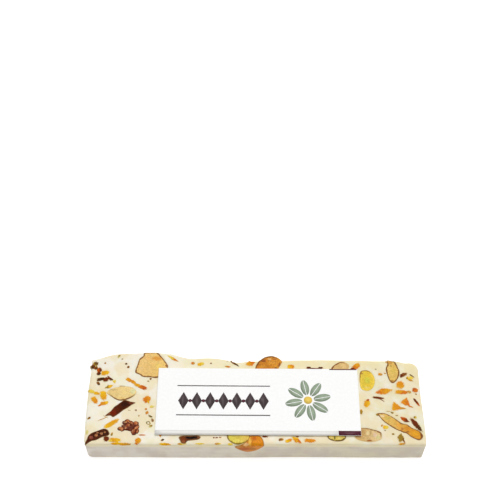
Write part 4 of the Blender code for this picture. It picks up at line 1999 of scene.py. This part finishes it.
def chip_forms() -> bpy.types.Collection:
    """One small mesh for each Shape, of unit size, in a collection of its own.

    Returns:
        The collection. Its meshes sort in the order of Shape.
    """
    held = bpy.data.collections.new("chip_forms")
    turns = np.linspace(0, 2 * math.pi, ChipFamily.POINTS, endpoint=False)
    for number, shape in enumerate(Shape):
        form = shape.value
        reach = form.reach(turns)
        reach *= 1 + form.ragged * np.sin(3 * turns + number) * np.cos(5 * turns + 2 * number)
        x, y = reach * np.cos(turns) / 2, reach * np.sin(turns) / 2
        y = y * (1 - form.taper * (x + 0.5)) + form.bend * (x**2 - 0.1)
        rings, marks = [], []
        for share, height in ChipFamily.LEVELS:
            if form.hollow and share < 0.5:
                height -= form.hollow
            z = np.full_like(x, height)
            ring = np.column_stack([x * share, y * share + form.bend * 0.1 * (1 - share), z])
            mark = np.column_stack([x * share + 0.5, y * share + 0.5, np.full_like(x, share if height > -0.05 else 1.3)])
            rings.append(ring[:1] if share == 0 else ring)
            marks.append(mark[:1] if share == 0 else mark)
        mesh = ring_mesh(f"form_{number}", rings)
        keep_vectors(mesh, "along", np.vstack(marks))
        keep_vectors(mesh, "rise", points_of(mesh))
        held.objects.link(bpy.data.objects.new(f"form_{number}", mesh))
    return held


S, T = Shape, Tone

FRUIT_CHIPS = (
    # back of the left end
    Chip(S.BLOCK, -68.5, 12.6, 3.4, 2.4, 8, T.GOLD, T.YELLOW),
    Chip(S.LEAF, -66.1, 5.4, 3.6, 1.8, 22, T.OLIVE, T.YELLOW),
    Chip(S.WEDGE, -63.8, 8.1, 2.2, 1.4, -70, T.LEMON, T.YELLOW),
    Chip(S.BLOCK, -57.2, 8.9, 2.8, 1.8, -33, T.GOLD, T.AMBER),
    Chip(S.SLIVER, -55.2, 7.8, 2.8, 1.7, -35, T.AMBER, T.GOLD),
    Chip(S.BLOCK, -53.2, 6.2, 2.8, 1.6, -25, T.GOLD, T.GOLD),
    Chip(S.BLOCK, -50.7, 5.0, 3.6, 2.1, -24, T.ORANGE, T.RUST),
    Chip(S.BLOCK, -48.5, -1.0, 3.2, 3.0, 38, T.ORANGE, T.AMBER),
    Chip(S.WEDGE, -47.8, -2.4, 1.8, 1.3, -70, T.YELLOW, T.YELLOW),
    Chip(S.SLIVER, -73.8, 2.9, 3.0, 2.0, -20, T.LEMON, T.LEMON),
    Chip(S.SLIVER, -71.4, 2.0, 2.8, 1.9, -18, T.YELLOW, T.GOLD),
    Chip(S.BLOCK, -68.3, 0.9, 4.2, 2.9, -80, T.YELLOW, T.GOLD),
    Chip(S.BLOCK, -72.1, -1.4, 3.6, 2.4, -58, T.GOLD, T.AMBER),
    Chip(S.BLOCK, -67.6, -3.0, 3.2, 1.9, 12, T.AMBER, T.YELLOW),
    Chip(S.CURL, -69.4, -3.9, 2.0, 0.9, 40, T.ORANGE, T.AMBER),
    # front of the left end
    Chip(S.BLOCK, -63.6, -13.2, 6.4, 2.2, 33, T.YELLOW, T.GOLD),
    Chip(S.BLOCK, -61.4, -21.2, 4.4, 2.2, -8, T.GOLD, T.YELLOW),
    Chip(S.LEAF, -63.2, -21.5, 2.4, 1.2, 10, T.LEMON, T.YELLOW),
    Chip(S.BLOCK, -51.3, -21.5, 2.3, 2.7, 18, T.AMBER, T.GOLD),
    Chip(S.WEDGE, -52.0, -22.8, 1.8, 1.1, -60, T.TAN, T.ORANGE),
    Chip(S.SLIVER, -49.6, -18.8, 3.0, 0.7, -3, T.RUST, T.ORANGE),
    Chip(S.LUMP, -48.7, -6.0, 1.1, 1.0, 20, T.TAN, T.ORANGE),
    Chip(S.LUMP, -48.1, -7.8, 1.3, 1.5, -20, T.TAN, T.ORANGE),
    Chip(S.LEAF, -41.7, -18.6, 2.5, 1.2, -78, T.ORANGE, T.TAN),
    # back strip
    Chip(S.LEAF, -37.7, 20.2, 5.6, 1.5, -33, T.LEMON, T.ORANGE),
    Chip(S.LUMP, -28.3, 17.7, 1.6, 1.3, 0, T.ORANGE, T.TAN),
    Chip(S.BLOCK, -24.7, 17.3, 2.8, 1.8, 10, T.YELLOW, T.LEMON),
    Chip(S.SLIVER, -12.2, 15.9, 2.4, 1.0, -10, T.TAN, T.ORANGE),
    Chip(S.LEAF, -1.8, 17.6, 4.2, 3.0, 20, T.GOLD, T.ORANGE),
    Chip(S.BLOCK, 16.8, 15.8, 2.8, 2.2, -6, T.YELLOW, T.AMBER),
    Chip(S.BLOCK, 46.9, 16.0, 3.8, 2.6, 35, T.ORANGE, T.GOLD),
    # right end
    Chip(S.LUMP, 57.6, 11.8, 2.0, 1.3, -12, T.AMBER, T.TAN),
    Chip(S.SLIVER, 71.0, 8.9, 3.0, 1.2, -28, T.YELLOW, T.TAN),
    Chip(S.BLOCK, 71.6, 10.0, 1.8, 1.4, -30, T.LEMON, T.LEMON),
    Chip(S.LUMP, 66.3, 6.4, 3.8, 3.4, 60, T.GOLD, T.AMBER),
    Chip(S.BLOCK, 66.6, 2.6, 5.4, 2.2, -4, T.GOLD, T.ORANGE),
    Chip(S.LUMP, 70.0, 2.7, 1.8, 1.2, -30, T.TAN, T.TAN),
    Chip(S.BLOCK, 72.8, 3.6, 2.4, 2.2, -20, T.RUST, T.ORANGE),
    Chip(S.LEAF, 58.6, 3.0, 7.4, 3.4, 12, T.ORANGE, T.GOLD),
    Chip(S.WEDGE, 68.0, -2.6, 4.6, 3.7, -52, T.AMBER, T.ORANGE),
    Chip(S.SLIVER, 70.0, -4.7, 2.6, 0.9, -28, T.ORANGE, T.TAN),
    Chip(S.WEDGE, 63.4, -5.0, 4.8, 4.4, -16, T.GOLD, T.AMBER),
    Chip(S.SLIVER, 66.2, -5.5, 3.2, 1.0, -12, T.AMBER, T.TAN),
    Chip(S.BLOCK, 58.0, -15.0, 2.2, 1.8, -5, T.YELLOW, T.LEMON),
    Chip(S.BLOCK, 50.5, -3.2, 2.4, 3.8, -14, T.GOLD, T.YELLOW),
    Chip(S.LUMP, 51.0, -1.5, 1.5, 0.9, 20, T.RUST, T.RUST),
    Chip(S.SLIVER, 56.2, -8.7, 2.8, 0.8, 8, T.RUST, T.TAN),
    Chip(S.LUMP, 62.0, 18.4, 3.0, 1.8, -10, T.TAN, T.TAN),
    # front strip
    Chip(S.BLOCK, 14.8, -21.5, 2.8, 1.6, 18, T.YELLOW, T.AMBER),
    Chip(S.LEAF, 18.4, -21.2, 4.8, 2.4, -36, T.YELLOW, T.ORANGE),
    Chip(S.BLOCK, 24.2, -21.5, 4.4, 1.8, -4, T.AMBER, T.AMBER),
    Chip(S.LUMP, 11.5, -21.0, 2.2, 1.2, 5, T.BROWN, T.TAN),
)

EDGE_CHIPS = (
    # in the front top edge, half over it
    Chip(S.SLIVER, -60.6, -22.9, 4.4, 1.2, 0, T.GOLD, T.YELLOW),
    Chip(S.SLIVER, -57.0, -23.2, 4.6, 1.5, 0, T.GOLD, T.TAN),
    Chip(S.SLIVER, -39.4, -23.2, 4.6, 1.3, -4, T.YELLOW, T.GOLD),
    Chip(S.SLIVER, -32.0, -23.1, 3.6, 0.9, 2, T.TAN, T.LEMON),
    Chip(S.LUMP, -10.8, -23.2, 2.0, 1.0, 0, T.LEMON, T.LEMON),
    Chip(S.SLIVER, -16.2, -23.0, 2.6, 1.0, 0, T.TAN, T.LEMON),
    Chip(S.SLIVER, 64.6, -23.1, 2.6, 1.0, 5, T.GOLD, T.TAN),
    Chip(S.SLIVER, -24.0, -23.0, 3.6, 0.8, 0, T.LEMON, T.LEMON),
)

DARK_CHIPS = (
    Chip(S.LUMP, -74.3, 16.0, 2.4, 2.3, 60, T.UMBER, T.BROWN),
    Chip(S.LUMP, -73.0, 15.2, 2.0, 1.6, -20, T.BROWN, T.UMBER),
    Chip(S.BLOCK, -71.2, 14.0, 2.1, 2.7, 20, T.RUST, T.MAROON),
    Chip(S.LUMP, -71.3, 12.3, 1.9, 1.9, -40, T.MAROON, T.BLACK),
    Chip(S.BLOCK, -70.2, 9.3, 3.4, 1.7, 12, T.UMBER, T.BLACK),
    Chip(S.LUMP, -67.8, 9.2, 2.8, 2.2, 30, T.MAROON, T.MAROON),
    Chip(S.CURL, -66.0, 9.7, 3.0, 1.4, -38, T.MAROON, T.UMBER),
    Chip(S.LUMP, -71.1, 7.1, 1.9, 1.3, -52, T.BROWN, T.UMBER),
    Chip(S.LUMP, -65.3, -20.6, 2.4, 2.4, 0, T.MAROON, T.MAROON),
    Chip(S.CURL, -46.6, -9.5, 1.9, 1.0, -28, T.GREY, T.MOSS),
    Chip(S.LUMP, -45.5, -11.5, 1.9, 1.1, -68, T.GREY, T.BROWN),
    Chip(S.LUMP, -40.6, -21.1, 1.5, 0.9, 25, T.BROWN, T.BLACK),
    Chip(S.LUMP, -59.1, 17.4, 1.2, 0.9, -20, T.BROWN, T.UMBER),
    Chip(S.LUMP, -58.0, 15.7, 1.2, 1.0, 10, T.BROWN, T.BROWN),
    Chip(S.SLIVER, -9.2, 17.6, 4.6, 1.1, -35, T.BROWN, T.UMBER),
    Chip(S.LUMP, 25.0, 15.3, 2.0, 1.3, 0, T.MAROON, T.UMBER),
    Chip(S.LUMP, 30.5, 15.2, 2.3, 1.2, 5, T.UMBER, T.MAROON),
    Chip(S.SLIVER, 28.0, 14.9, 7.0, 0.7, 0, T.MAROON, T.BROWN),
    Chip(S.LUMP, 45.2, 14.6, 3.0, 1.6, 25, T.RUST, T.MAROON),
    Chip(S.BLOCK, 68.2, 11.6, 3.4, 1.8, 25, T.MAROON, T.BROWN),
    Chip(S.SLIVER, 55.8, -0.3, 4.8, 1.4, -8, T.MAROON, T.MAROON),
    Chip(S.SLIVER, 57.3, -1.4, 2.4, 0.6, -34, T.MAROON, T.BROWN),
    Chip(S.SLIVER, 72.9, -2.6, 4.2, 1.3, -58, T.MAROON, T.RUST),
    Chip(S.LEAF, 66.8, -11.3, 4.4, 2.2, -32, T.RUST, T.MAROON),
    Chip(S.SLIVER, 71.7, -13.9, 7.2, 2.5, -58, T.MAROON, T.UMBER),
    Chip(S.CURL, 65.4, -21.4, 2.8, 0.8, -72, T.UMBER, T.BROWN),
    Chip(S.SLIVER, 4.5, -19.6, 2.4, 1.0, -5, T.MAROON, T.MAROON),
    Chip(S.LUMP, 18.7, -19.6, 1.3, 0.6, 0, T.BROWN, T.BROWN),
    Chip(S.LUMP, -47.4, 9.5, 0.9, 0.8, 0, T.BROWN, T.BROWN),
)

GREEN_CHIPS = (
    Chip(S.LUMP, -73.2, 17.3, 2.4, 2.1, 20, T.OLIVE, T.UMBER),
    Chip(S.SLIVER, -72.5, 15.9, 1.4, 0.7, -50, T.OLIVE, T.TAN),
    Chip(S.LUMP, -62.7, 21.4, 1.9, 1.0, 60, T.PALE_GREEN, T.OLIVE),
    Chip(S.LUMP, -73.8, -10.5, 1.6, 0.9, 40, T.OLIVE, T.BROWN),
    Chip(S.LUMP, -63.0, -18.3, 1.6, 0.9, 70, T.OLIVE, T.TAN),
    Chip(S.RING, -47.2, -12.9, 1.9, 1.5, -20, T.MOSS, T.OLIVE),
    Chip(S.LUMP, -46.2, -14.5, 1.8, 1.1, 30, T.PALE_GREEN, T.OLIVE),
    Chip(S.SLIVER, 72.1, 11.0, 2.6, 0.7, -40, T.MOSS, T.BROWN),
    Chip(S.LUMP, 69.9, 10.0, 1.5, 0.9, 60, T.OLIVE, T.YELLOW),
    Chip(S.LUMP, 71.5, -10.1, 1.4, 1.2, -30, T.OLIVE, T.LEMON),
    Chip(S.LEAF, 64.2, -20.1, 4.1, 3.0, 80, T.OLIVE, T.OLIVE),
    Chip(S.LUMP, 64.0, -20.5, 1.9, 1.2, 80, T.OLIVE, T.MOSS),
    Chip(S.LUMP, 61.4, -7.8, 1.5, 0.7, -10, T.MOSS, T.OLIVE),
    Chip(S.LUMP, 63.3, -9.2, 1.1, 0.6, 20, T.GREY, T.OLIVE),
    Chip(S.LUMP, 61.0, -18.3, 1.1, 0.9, 0, T.OLIVE, T.OLIVE),
    Chip(S.LUMP, 55.0, -8.8, 1.6, 1.1, 10, T.OLIVE, T.TAN),
    Chip(S.LUMP, 47.6, -7.4, 2.5, 1.3, 80, T.OLIVE, T.TAN),
    Chip(S.LUMP, -74.0, -17.5, 2.4, 1.0, 84, T.PALE_GREEN, T.PALE_GREEN),
    Chip(S.LUMP, -52.6, -17.9, 1.8, 1.1, 30, T.PALE_GREEN, T.PALE_GREEN),
    Chip(S.LUMP, -46.0, -4.8, 2.0, 1.2, 0, T.LEMON, T.PALE_GREEN),
)

SPECKS = (
    Chip(S.LUMP, -68.8, 17.7, 0.8, 0.7, 0, T.BROWN, T.TAN),
    Chip(S.LUMP, -61.0, 19.9, 0.9, 0.6, 0, T.GREY, T.GREY),
    Chip(S.SLIVER, -60.2, 5.8, 2.5, 0.35, 0, T.TAN, T.GREY),
    Chip(S.LUMP, -48.5, 8.3, 1.0, 0.6, -20, T.GREY, T.GREY),
    Chip(S.LUMP, -53.2, -6.6, 0.8, 0.7, 0, T.GREY, T.BROWN),
    Chip(S.SLIVER, -56.0, -6.6, 1.1, 0.4, 0, T.GREY, T.GREY),
    Chip(S.LUMP, -51.6, -9.3, 0.7, 0.7, 0, T.GREY, T.TAN),
    Chip(S.SLIVER, -67.8, -10.9, 4.6, 0.35, 26, T.TAN, T.TAN),
    Chip(S.SLIVER, -66.4, -9.9, 2.4, 0.3, -30, T.TAN, T.TAN),
    Chip(S.LUMP, -20.0, 17.7, 0.9, 0.7, 0, T.BROWN, T.BROWN),
    Chip(S.LUMP, -12.5, 19.0, 0.9, 0.6, 0, T.GREY, T.GREY),
    Chip(S.LUMP, -16.8, -20.1, 1.1, 0.6, 10, T.BROWN, T.BROWN),
    Chip(S.LUMP, -15.2, -20.0, 1.0, 0.5, -15, T.BROWN, T.TAN),
    Chip(S.LUMP, -18.0, -20.1, 0.7, 0.5, 0, T.BROWN, T.BROWN),
    Chip(S.LUMP, 59.8, 12.3, 0.9, 0.7, 0, T.TAN, T.TAN),
    Chip(S.LUMP, 73.0, 1.6, 1.0, 0.5, 0, T.TAN, T.BROWN),
    Chip(S.LUMP, 57.6, -16.6, 0.8, 0.6, 0, T.GREY, T.GREY),
    Chip(S.LUMP, 56.4, -14.2, 1.1, 0.6, 60, T.TAN, T.TAN),
    Chip(S.SLIVER, 60.0, -7.2, 2.0, 0.3, -12, T.GREY, T.TAN),
    Chip(S.LUMP, 55.8, 14.6, 0.8, 0.5, 0, T.GREY, T.GREY),
)


@dataclass
class HiddenScatter:
    """Chips of the same kinds in the faces that are cut or moulded away from the front."""

    seed: int = 11
    count: int = 100
    sizes: tuple[float, float] = (1.2, 4.0)

    def chips(self, setter: ChipSetter) -> dict[str, list[Setting]]:
        """Draws the chips.

        Args:
            setter: works out their places.

        Returns:
            The chips of each family, by its name.
        """
        draw = random.Random(self.seed)
        tones = {
            "fruit_chips": (Tone.YELLOW, Tone.GOLD, Tone.AMBER, Tone.ORANGE, Tone.TAN),
            "dark_chips": (Tone.MAROON, Tone.UMBER, Tone.RUST),
            "green_chips": (Tone.OLIVE, Tone.PALE_GREEN, Tone.MOSS),
        }
        shares = ("fruit_chips",) * 6 + ("dark_chips",) * 2 + ("green_chips",)
        found: dict[str, list[Setting]] = {name: [] for name in tones}
        faces = (Side.BACK,) * 2 + (Side.BASE,) * 6 + (Side.LEFT, Side.RIGHT, Side.TOP, Side.TOP)
        for _ in range(self.count):
            side, family = draw.choice(faces), draw.choice(shares)
            length = draw.uniform(*self.sizes)
            start, stop = draw.choice(tones[family]), draw.choice(tones[family])
            form, turn = draw.choice([kind for kind in Shape if not kind.value.hollow]), draw.uniform(0, 360)
            x, y = self._place(draw, side)
            chip = Chip(form, x, y, length, length * draw.uniform(0.4, 0.8), turn, start, stop)
            found[family].append(setter.on_side(chip, side))
        return found

    @staticmethod
    def _place(draw: random.Random, side: Side) -> Place:
        """A place on a face, in mm along it and up or across it.

        Args:
            draw: the source of chance.
            side: the face.

        Returns:
            The place.
        """
        if side in (Side.LEFT, Side.RIGHT):
            return draw.uniform(-19, 15), draw.uniform(1.5, 12)
        if side is Side.BACK:
            return draw.uniform(-72, 70), draw.uniform(1.5, 12)
        if side is Side.BASE:
            return draw.uniform(-72, 72), draw.uniform(-21, 16)
        return draw.uniform(-40, 43), draw.uniform(-15, 10)


# ---------------------------------------------------------------- the card


@dataclass
class PaperLabel:
    """The card on top: a little bowed, printed with plain ornament and one blossom.

    Sizes are metres; places on the card are measured from its front left corner.
    """

    length: float = 91 * MM
    width: float = 33.6 * MM
    thickness: float = 0.35 * MM
    middle: Place = (1.5 * MM, -2.4 * MM)
    base: float = 13.95 * MM
    turn: float = -0.4
    bow: float = 0.12 * MM
    ink: float = 0.02 * MM
    blossom: Place = (68 * MM, 17.4 * MM)
    petals: int = 8
    rows: tuple[tuple[float, float, float, float], ...] = (
        (9 * MM, 24.2 * MM, 42 * MM, 0.5 * MM),
        (9 * MM, 9.4 * MM, 42 * MM, 0.5 * MM),
    )

    def build(self) -> None:
        """Makes the card, each colour of its print, and a band of painted shade along its front edge."""
        card = PaperFinish((253, 253, 252), (249, 249, 248))
        self._finish("card", self._card_mesh(), card, "label")
        inks_and_shade_band = {
            "print_dark": (PaperFinish((73, 60, 62), (80, 67, 68)), self._dark()),
            "print_sage": (PaperFinish((151, 168, 143), (158, 174, 150)), self._sage()),
            "print_yellow": (PaperFinish((242, 205, 90), (244, 210, 102)), self._yellow()),
            "print_plum": (PaperFinish((84, 29, 46), (94, 38, 55)), self._plum()),
            # Painted shade: a pale grey band along the card's front edge.
            "print_pale": (PaperFinish((240, 238, 232), (236, 234, 228)), self._pale()),
        }
        for name, (finish, outlines) in inks_and_shade_band.items():
            self._finish(name, self._thin_field_mesh(name, outlines), finish)

    def _finish(self, name: str, mesh: bpy.types.Mesh, finish: PaperFinish, *nodes: str) -> None:
        """Dresses one mesh of the card and hands it over."""
        hand_over(new_piece(name, mesh, finish.material(name)), "paper", *nodes)

    def _stand(self, places: np.ndarray, lift: np.ndarray) -> np.ndarray:
        """Places on the card, turned and bowed, where it lies on the bar.

        Args:
            places: places from its front left corner, one row each.
            lift: how far above its underside each is.

        Returns:
            The points.
        """
        across = places - np.array([self.length / 2, self.width / 2])
        rise = self.bow * (2 * across[:, 0] / self.length) ** 2 * np.sin(across[:, 1] / self.width + 1.2)
        turn = math.radians(self.turn)
        x = self.middle[0] + across[:, 0] * math.cos(turn) - across[:, 1] * math.sin(turn)
        y = self.middle[1] + across[:, 0] * math.sin(turn) + across[:, 1] * math.cos(turn)
        return np.column_stack([x, y, self.base + lift + rise])

    def _card_mesh(self) -> bpy.types.Mesh:
        """The card as a fine grid with eased edges.

        Returns:
            The mesh.
        """
        steps_x, steps_y = 90, 34
        bm = bmesh.new()
        bmesh.ops.create_grid(bm, x_segments=steps_x, y_segments=steps_y, size=0.5)
        raised = bmesh.ops.extrude_face_region(bm, geom=bm.faces[:])
        tops = {part for part in raised["geom"] if isinstance(part, bmesh.types.BMVert)}
        for vert in bm.verts:
            vert.co.z = 1.0 if vert in tops else 0.0
        bmesh.ops.recalc_face_normals(bm, faces=bm.faces)
        mesh = bpy.data.meshes.new("card")
        bm.to_mesh(mesh)
        bm.free()
        points = points_of(mesh)
        places = (points[:, :2] + 0.5) * np.array([self.length, self.width])
        move_points(mesh, self._stand(places, points[:, 2] * self.thickness))
        rough = bpy.data.objects.new("card", mesh)
        bpy.context.scene.collection.objects.link(rough)
        bevel = rough.modifiers.new("Eased edge", "BEVEL")
        bevel.width = 0.06 * MM
        bevel.segments = 2
        bevel.limit_method = "ANGLE"
        made = applied(rough, "card")
        made.set_sharp_from_angle(angle=math.radians(50))
        return made

    def _thin_field_mesh(self, name: str, outlines: list[np.ndarray]) -> bpy.types.Mesh:
        """Thin raised fields on the card: its print, and the band of painted shade.

        Args:
            name: the mesh's name.
            outlines: the outline of each field, anticlockwise.

        Returns:
            The mesh.
        """
        bm = bmesh.new()
        for outline in outlines:
            low = self._stand(outline, np.full(len(outline), self.thickness - self.ink))
            high = self._stand(outline, np.full(len(outline), self.thickness + self.ink))
            under, over = ([bm.verts.new(point) for point in ring] for ring in (low, high))
            bm.faces.new(over)
            bm.faces.new(under[::-1])
            for i in range(len(outline)):
                j = (i + 1) % len(outline)
                bm.faces.new((under[i], under[j], over[j], over[i]))
        mesh = bpy.data.meshes.new(name)
        bm.to_mesh(mesh)
        bm.free()
        return mesh

    @staticmethod
    def _field(x: float, y: float, length: float, width: float) -> np.ndarray:
        """A rectangle's outline, with points along it so that it follows the card's bow."""
        steps = np.linspace(0, length, max(2, round(length / (2 * MM))))
        low = [(x + s, y) for s in steps]
        high = [(x + s, y + width) for s in steps[::-1]]
        return np.array(low + high)

    @staticmethod
    def _oval(x: float, y: float, half_x: float, half_y: float, power: float = 2.0, turn: float = 0.0) -> np.ndarray:
        """An oval's outline; a power near 1 makes it a lozenge."""
        turns = np.linspace(0, 2 * math.pi, 40, endpoint=False)
        reach = (np.abs(np.cos(turns)) ** power + np.abs(np.sin(turns)) ** power) ** (-1 / power)
        across, up = half_x * reach * np.cos(turns), half_y * reach * np.sin(turns)
        return np.column_stack(
            [x + across * math.cos(turn) - up * math.sin(turn), y + across * math.sin(turn) + up * math.cos(turn)]
        )

    def _dark(self) -> list[np.ndarray]:
        """Two thin rules with a row of lozenges between them."""
        made = [self._field(*row) for row in self.rows]
        x, low, length, _ = self.rows[1]
        high = self.rows[0][1]
        count = 7
        for i in range(count):
            place = x + length * (i + 0.5) / count
            made.append(self._oval(place, (low + high) / 2, 2.4 * MM, 4.4 * MM, 1.0))
        return made

    def _sage(self) -> list[np.ndarray]:
        """The petals of the blossom, each in two halves with a bare vein between them."""
        bends = np.linspace(0, math.pi, 20)
        made = []
        for i in range(self.petals):
            turn = 2 * math.pi * (i + 0.25) / self.petals
            along = 6.5 * MM + 3.9 * MM * np.cos(bends)
            for side in (-1, 1):
                off = side * (0.14 * MM + 1.75 * MM * np.sin(bends) ** 1.2)
                x = self.blossom[0] + along * math.cos(turn) - off * math.sin(turn)
                y = self.blossom[1] + along * math.sin(turn) + off * math.cos(turn)
                made.append(np.column_stack([x, y])[::side])
        return made

    def _yellow(self) -> list[np.ndarray]:
        """The middle of the blossom."""
        return [self._oval(*self.blossom, 1.9 * MM, 1.9 * MM)]

    def _pale(self) -> list[np.ndarray]:
        """A pale grey band along the front edge, up to the block: painted shade where the card's front edge is lit
        less.
        """
        return [self._field(0.1 * MM, 0.05 * MM, self.length - 10.3 * MM, 2.1 * MM)]

    def _plum(self) -> list[np.ndarray]:
        """Beads between the lozenges, a block in the front right corner and a line behind it."""
        x, low, length, _ = self.rows[1]
        middle = (low + self.rows[0][1]) / 2
        beads = [self._oval(x + length * i / 7, middle, 0.8 * MM, 0.8 * MM) for i in range(1, 7)]
        corner = self._field(self.length - 10 * MM, 0.05 * MM, 9.9 * MM, 2.2 * MM)
        edge = self._field(self.length - 12.8 * MM, self.width - 0.55 * MM, 12.5 * MM, 0.5 * MM)
        return beads + [corner, edge]


# ---------------------------------------------------------------- the studio


@dataclass
class Studio:
    """A pale table under soft light from above and behind, and the camera."""

    lens: float = 77.35
    sensor: float = 36.0
    eye: tuple[float, float, float] = (-0.00432, -0.23112, 0.43440)
    pitch: float = 37.0
    sky: float = 0.30
    key: float = 2.15
    key_lean: tuple[float, float] = (-16.0, 6.0)
    key_softness: float = 50.0
    glow: float = 0.72
    table_size: float = 3.0

    def build(self) -> None:
        """Makes the table, the lights and the camera."""
        self._table()
        self._sky()
        self._key()
        self._softbox()
        self._camera()
        bpy.context.scene.view_settings.view_transform = "Standard"

    def _table(self) -> None:
        """The pale table, a little self-lit so that the bar's shadow stays faint."""
        bm = bmesh.new()
        bmesh.ops.create_grid(bm, x_segments=4, y_segments=4, size=self.table_size / 2)
        mesh = bpy.data.meshes.new("table")
        bm.to_mesh(mesh)
        bm.free()
        made, graph = new_material("table")
        shader = Gloss(0.8, 0.1).shader(graph)
        at = graph.node("ShaderNodeTexCoord").outputs["Object"]
        mask = EFFECTS.place(graph, "mottle", {"Vector": at, "Size": 60.0, "Contrast": 0.3})
        graph.feed(shader.inputs["Base Color"], graph.mix(mask, paint((196, 196, 196)), paint((194, 194, 195))))
        shader.inputs["Emission Color"].default_value = (1, 1, 1, 1)
        shader.inputs["Emission Strength"].default_value = self.glow
        new_piece("table", mesh, made)

    def _sky(self) -> None:
        """An even dim light from all round."""
        world = bpy.data.worlds.new("studio")
        world.use_nodes = True
        back = world.node_tree.nodes["Background"]
        back.inputs["Color"].default_value = (1, 1, 1, 1)
        back.inputs["Strength"].default_value = self.sky
        bpy.context.scene.world = world

    def _key(self) -> None:
        """The soft main light, from above and a little behind."""
        light = bpy.data.lights.new("key", "SUN")
        light.energy = self.key
        light.angle = math.radians(self.key_softness)
        made = bpy.data.objects.new("key", light)
        made.rotation_euler = tuple(math.radians(turn) for turn in (*self.key_lean, 0))
        bpy.context.scene.collection.objects.link(made)

    def _softbox(self) -> None:
        """A broad panel behind the bar, for the sheen of skins and fruit."""
        light = bpy.data.lights.new("softbox", "AREA")
        light.shape = "RECTANGLE"
        light.size, light.size_y = 0.5, 0.25
        light.energy = 0.3
        made = bpy.data.objects.new("softbox", light)
        made.location = (0.1, 0.55, 0.62)
        aim = Vector((0, 0, 0.01)) - made.location
        made.rotation_euler = aim.to_track_quat("-Z", "Y").to_euler()
        bpy.context.scene.collection.objects.link(made)

    def _camera(self) -> None:
        """The camera, looking down at the front of the bar."""
        camera = bpy.data.cameras.new("camera")
        camera.lens = self.lens
        camera.sensor_width = self.sensor
        camera.clip_start = 0.01
        made = bpy.data.objects.new("camera", camera)
        made.location = self.eye
        made.rotation_euler = (math.radians(self.pitch), 0, 0)
        bpy.context.scene.collection.objects.link(made)
        bpy.context.scene.camera = made


# ---------------------------------------------------------------- everything together


def build_chips(shape: BarShape, bar: bpy.types.Object) -> None:
    """Sets every small chip into the bar, one piece for each kind.

    Args:
        shape: the bar's form.
        bar: the bar.
    """
    setter = ChipSetter(shape)
    families = {
        "fruit_chips": ("apricot", FRUIT_CHIPS + EDGE_CHIPS),
        "dark_chips": ("dark_fruit", DARK_CHIPS),
        "green_chips": ("pistachio", GREEN_CHIPS),
        "skin_specks": ("almond", SPECKS),
    }
    hidden = HiddenScatter().chips(setter)
    forms = chip_forms()
    for name, (slot, chips) in families.items():
        settings = [setter.on_top(chip) for chip in chips] + hidden.get(name, [])
        finish = ChipFinish(DARK_GLOSS) if slot == "dark_fruit" else ChipFinish()
        ChipFamily(name, slot, settings, finish).build(forms, bar)


def main() -> None:
    """Builds the bar, its nuts and fruit, its chips, its card and the studio round it."""
    logging.basicConfig(level=logging.INFO, format="%(name)s: %(message)s")
    shape = BarShape()
    kernels = almonds() + pistachios() + fruits()
    bar = NougatBar(shape).build([kernel.seen() for kernel in kernels])
    for kernel in kernels:
        kernel.build(shape)
    build_chips(shape, bar)
    PaperLabel().build()
    Studio().build()


if __name__ == "__main__":
    main()
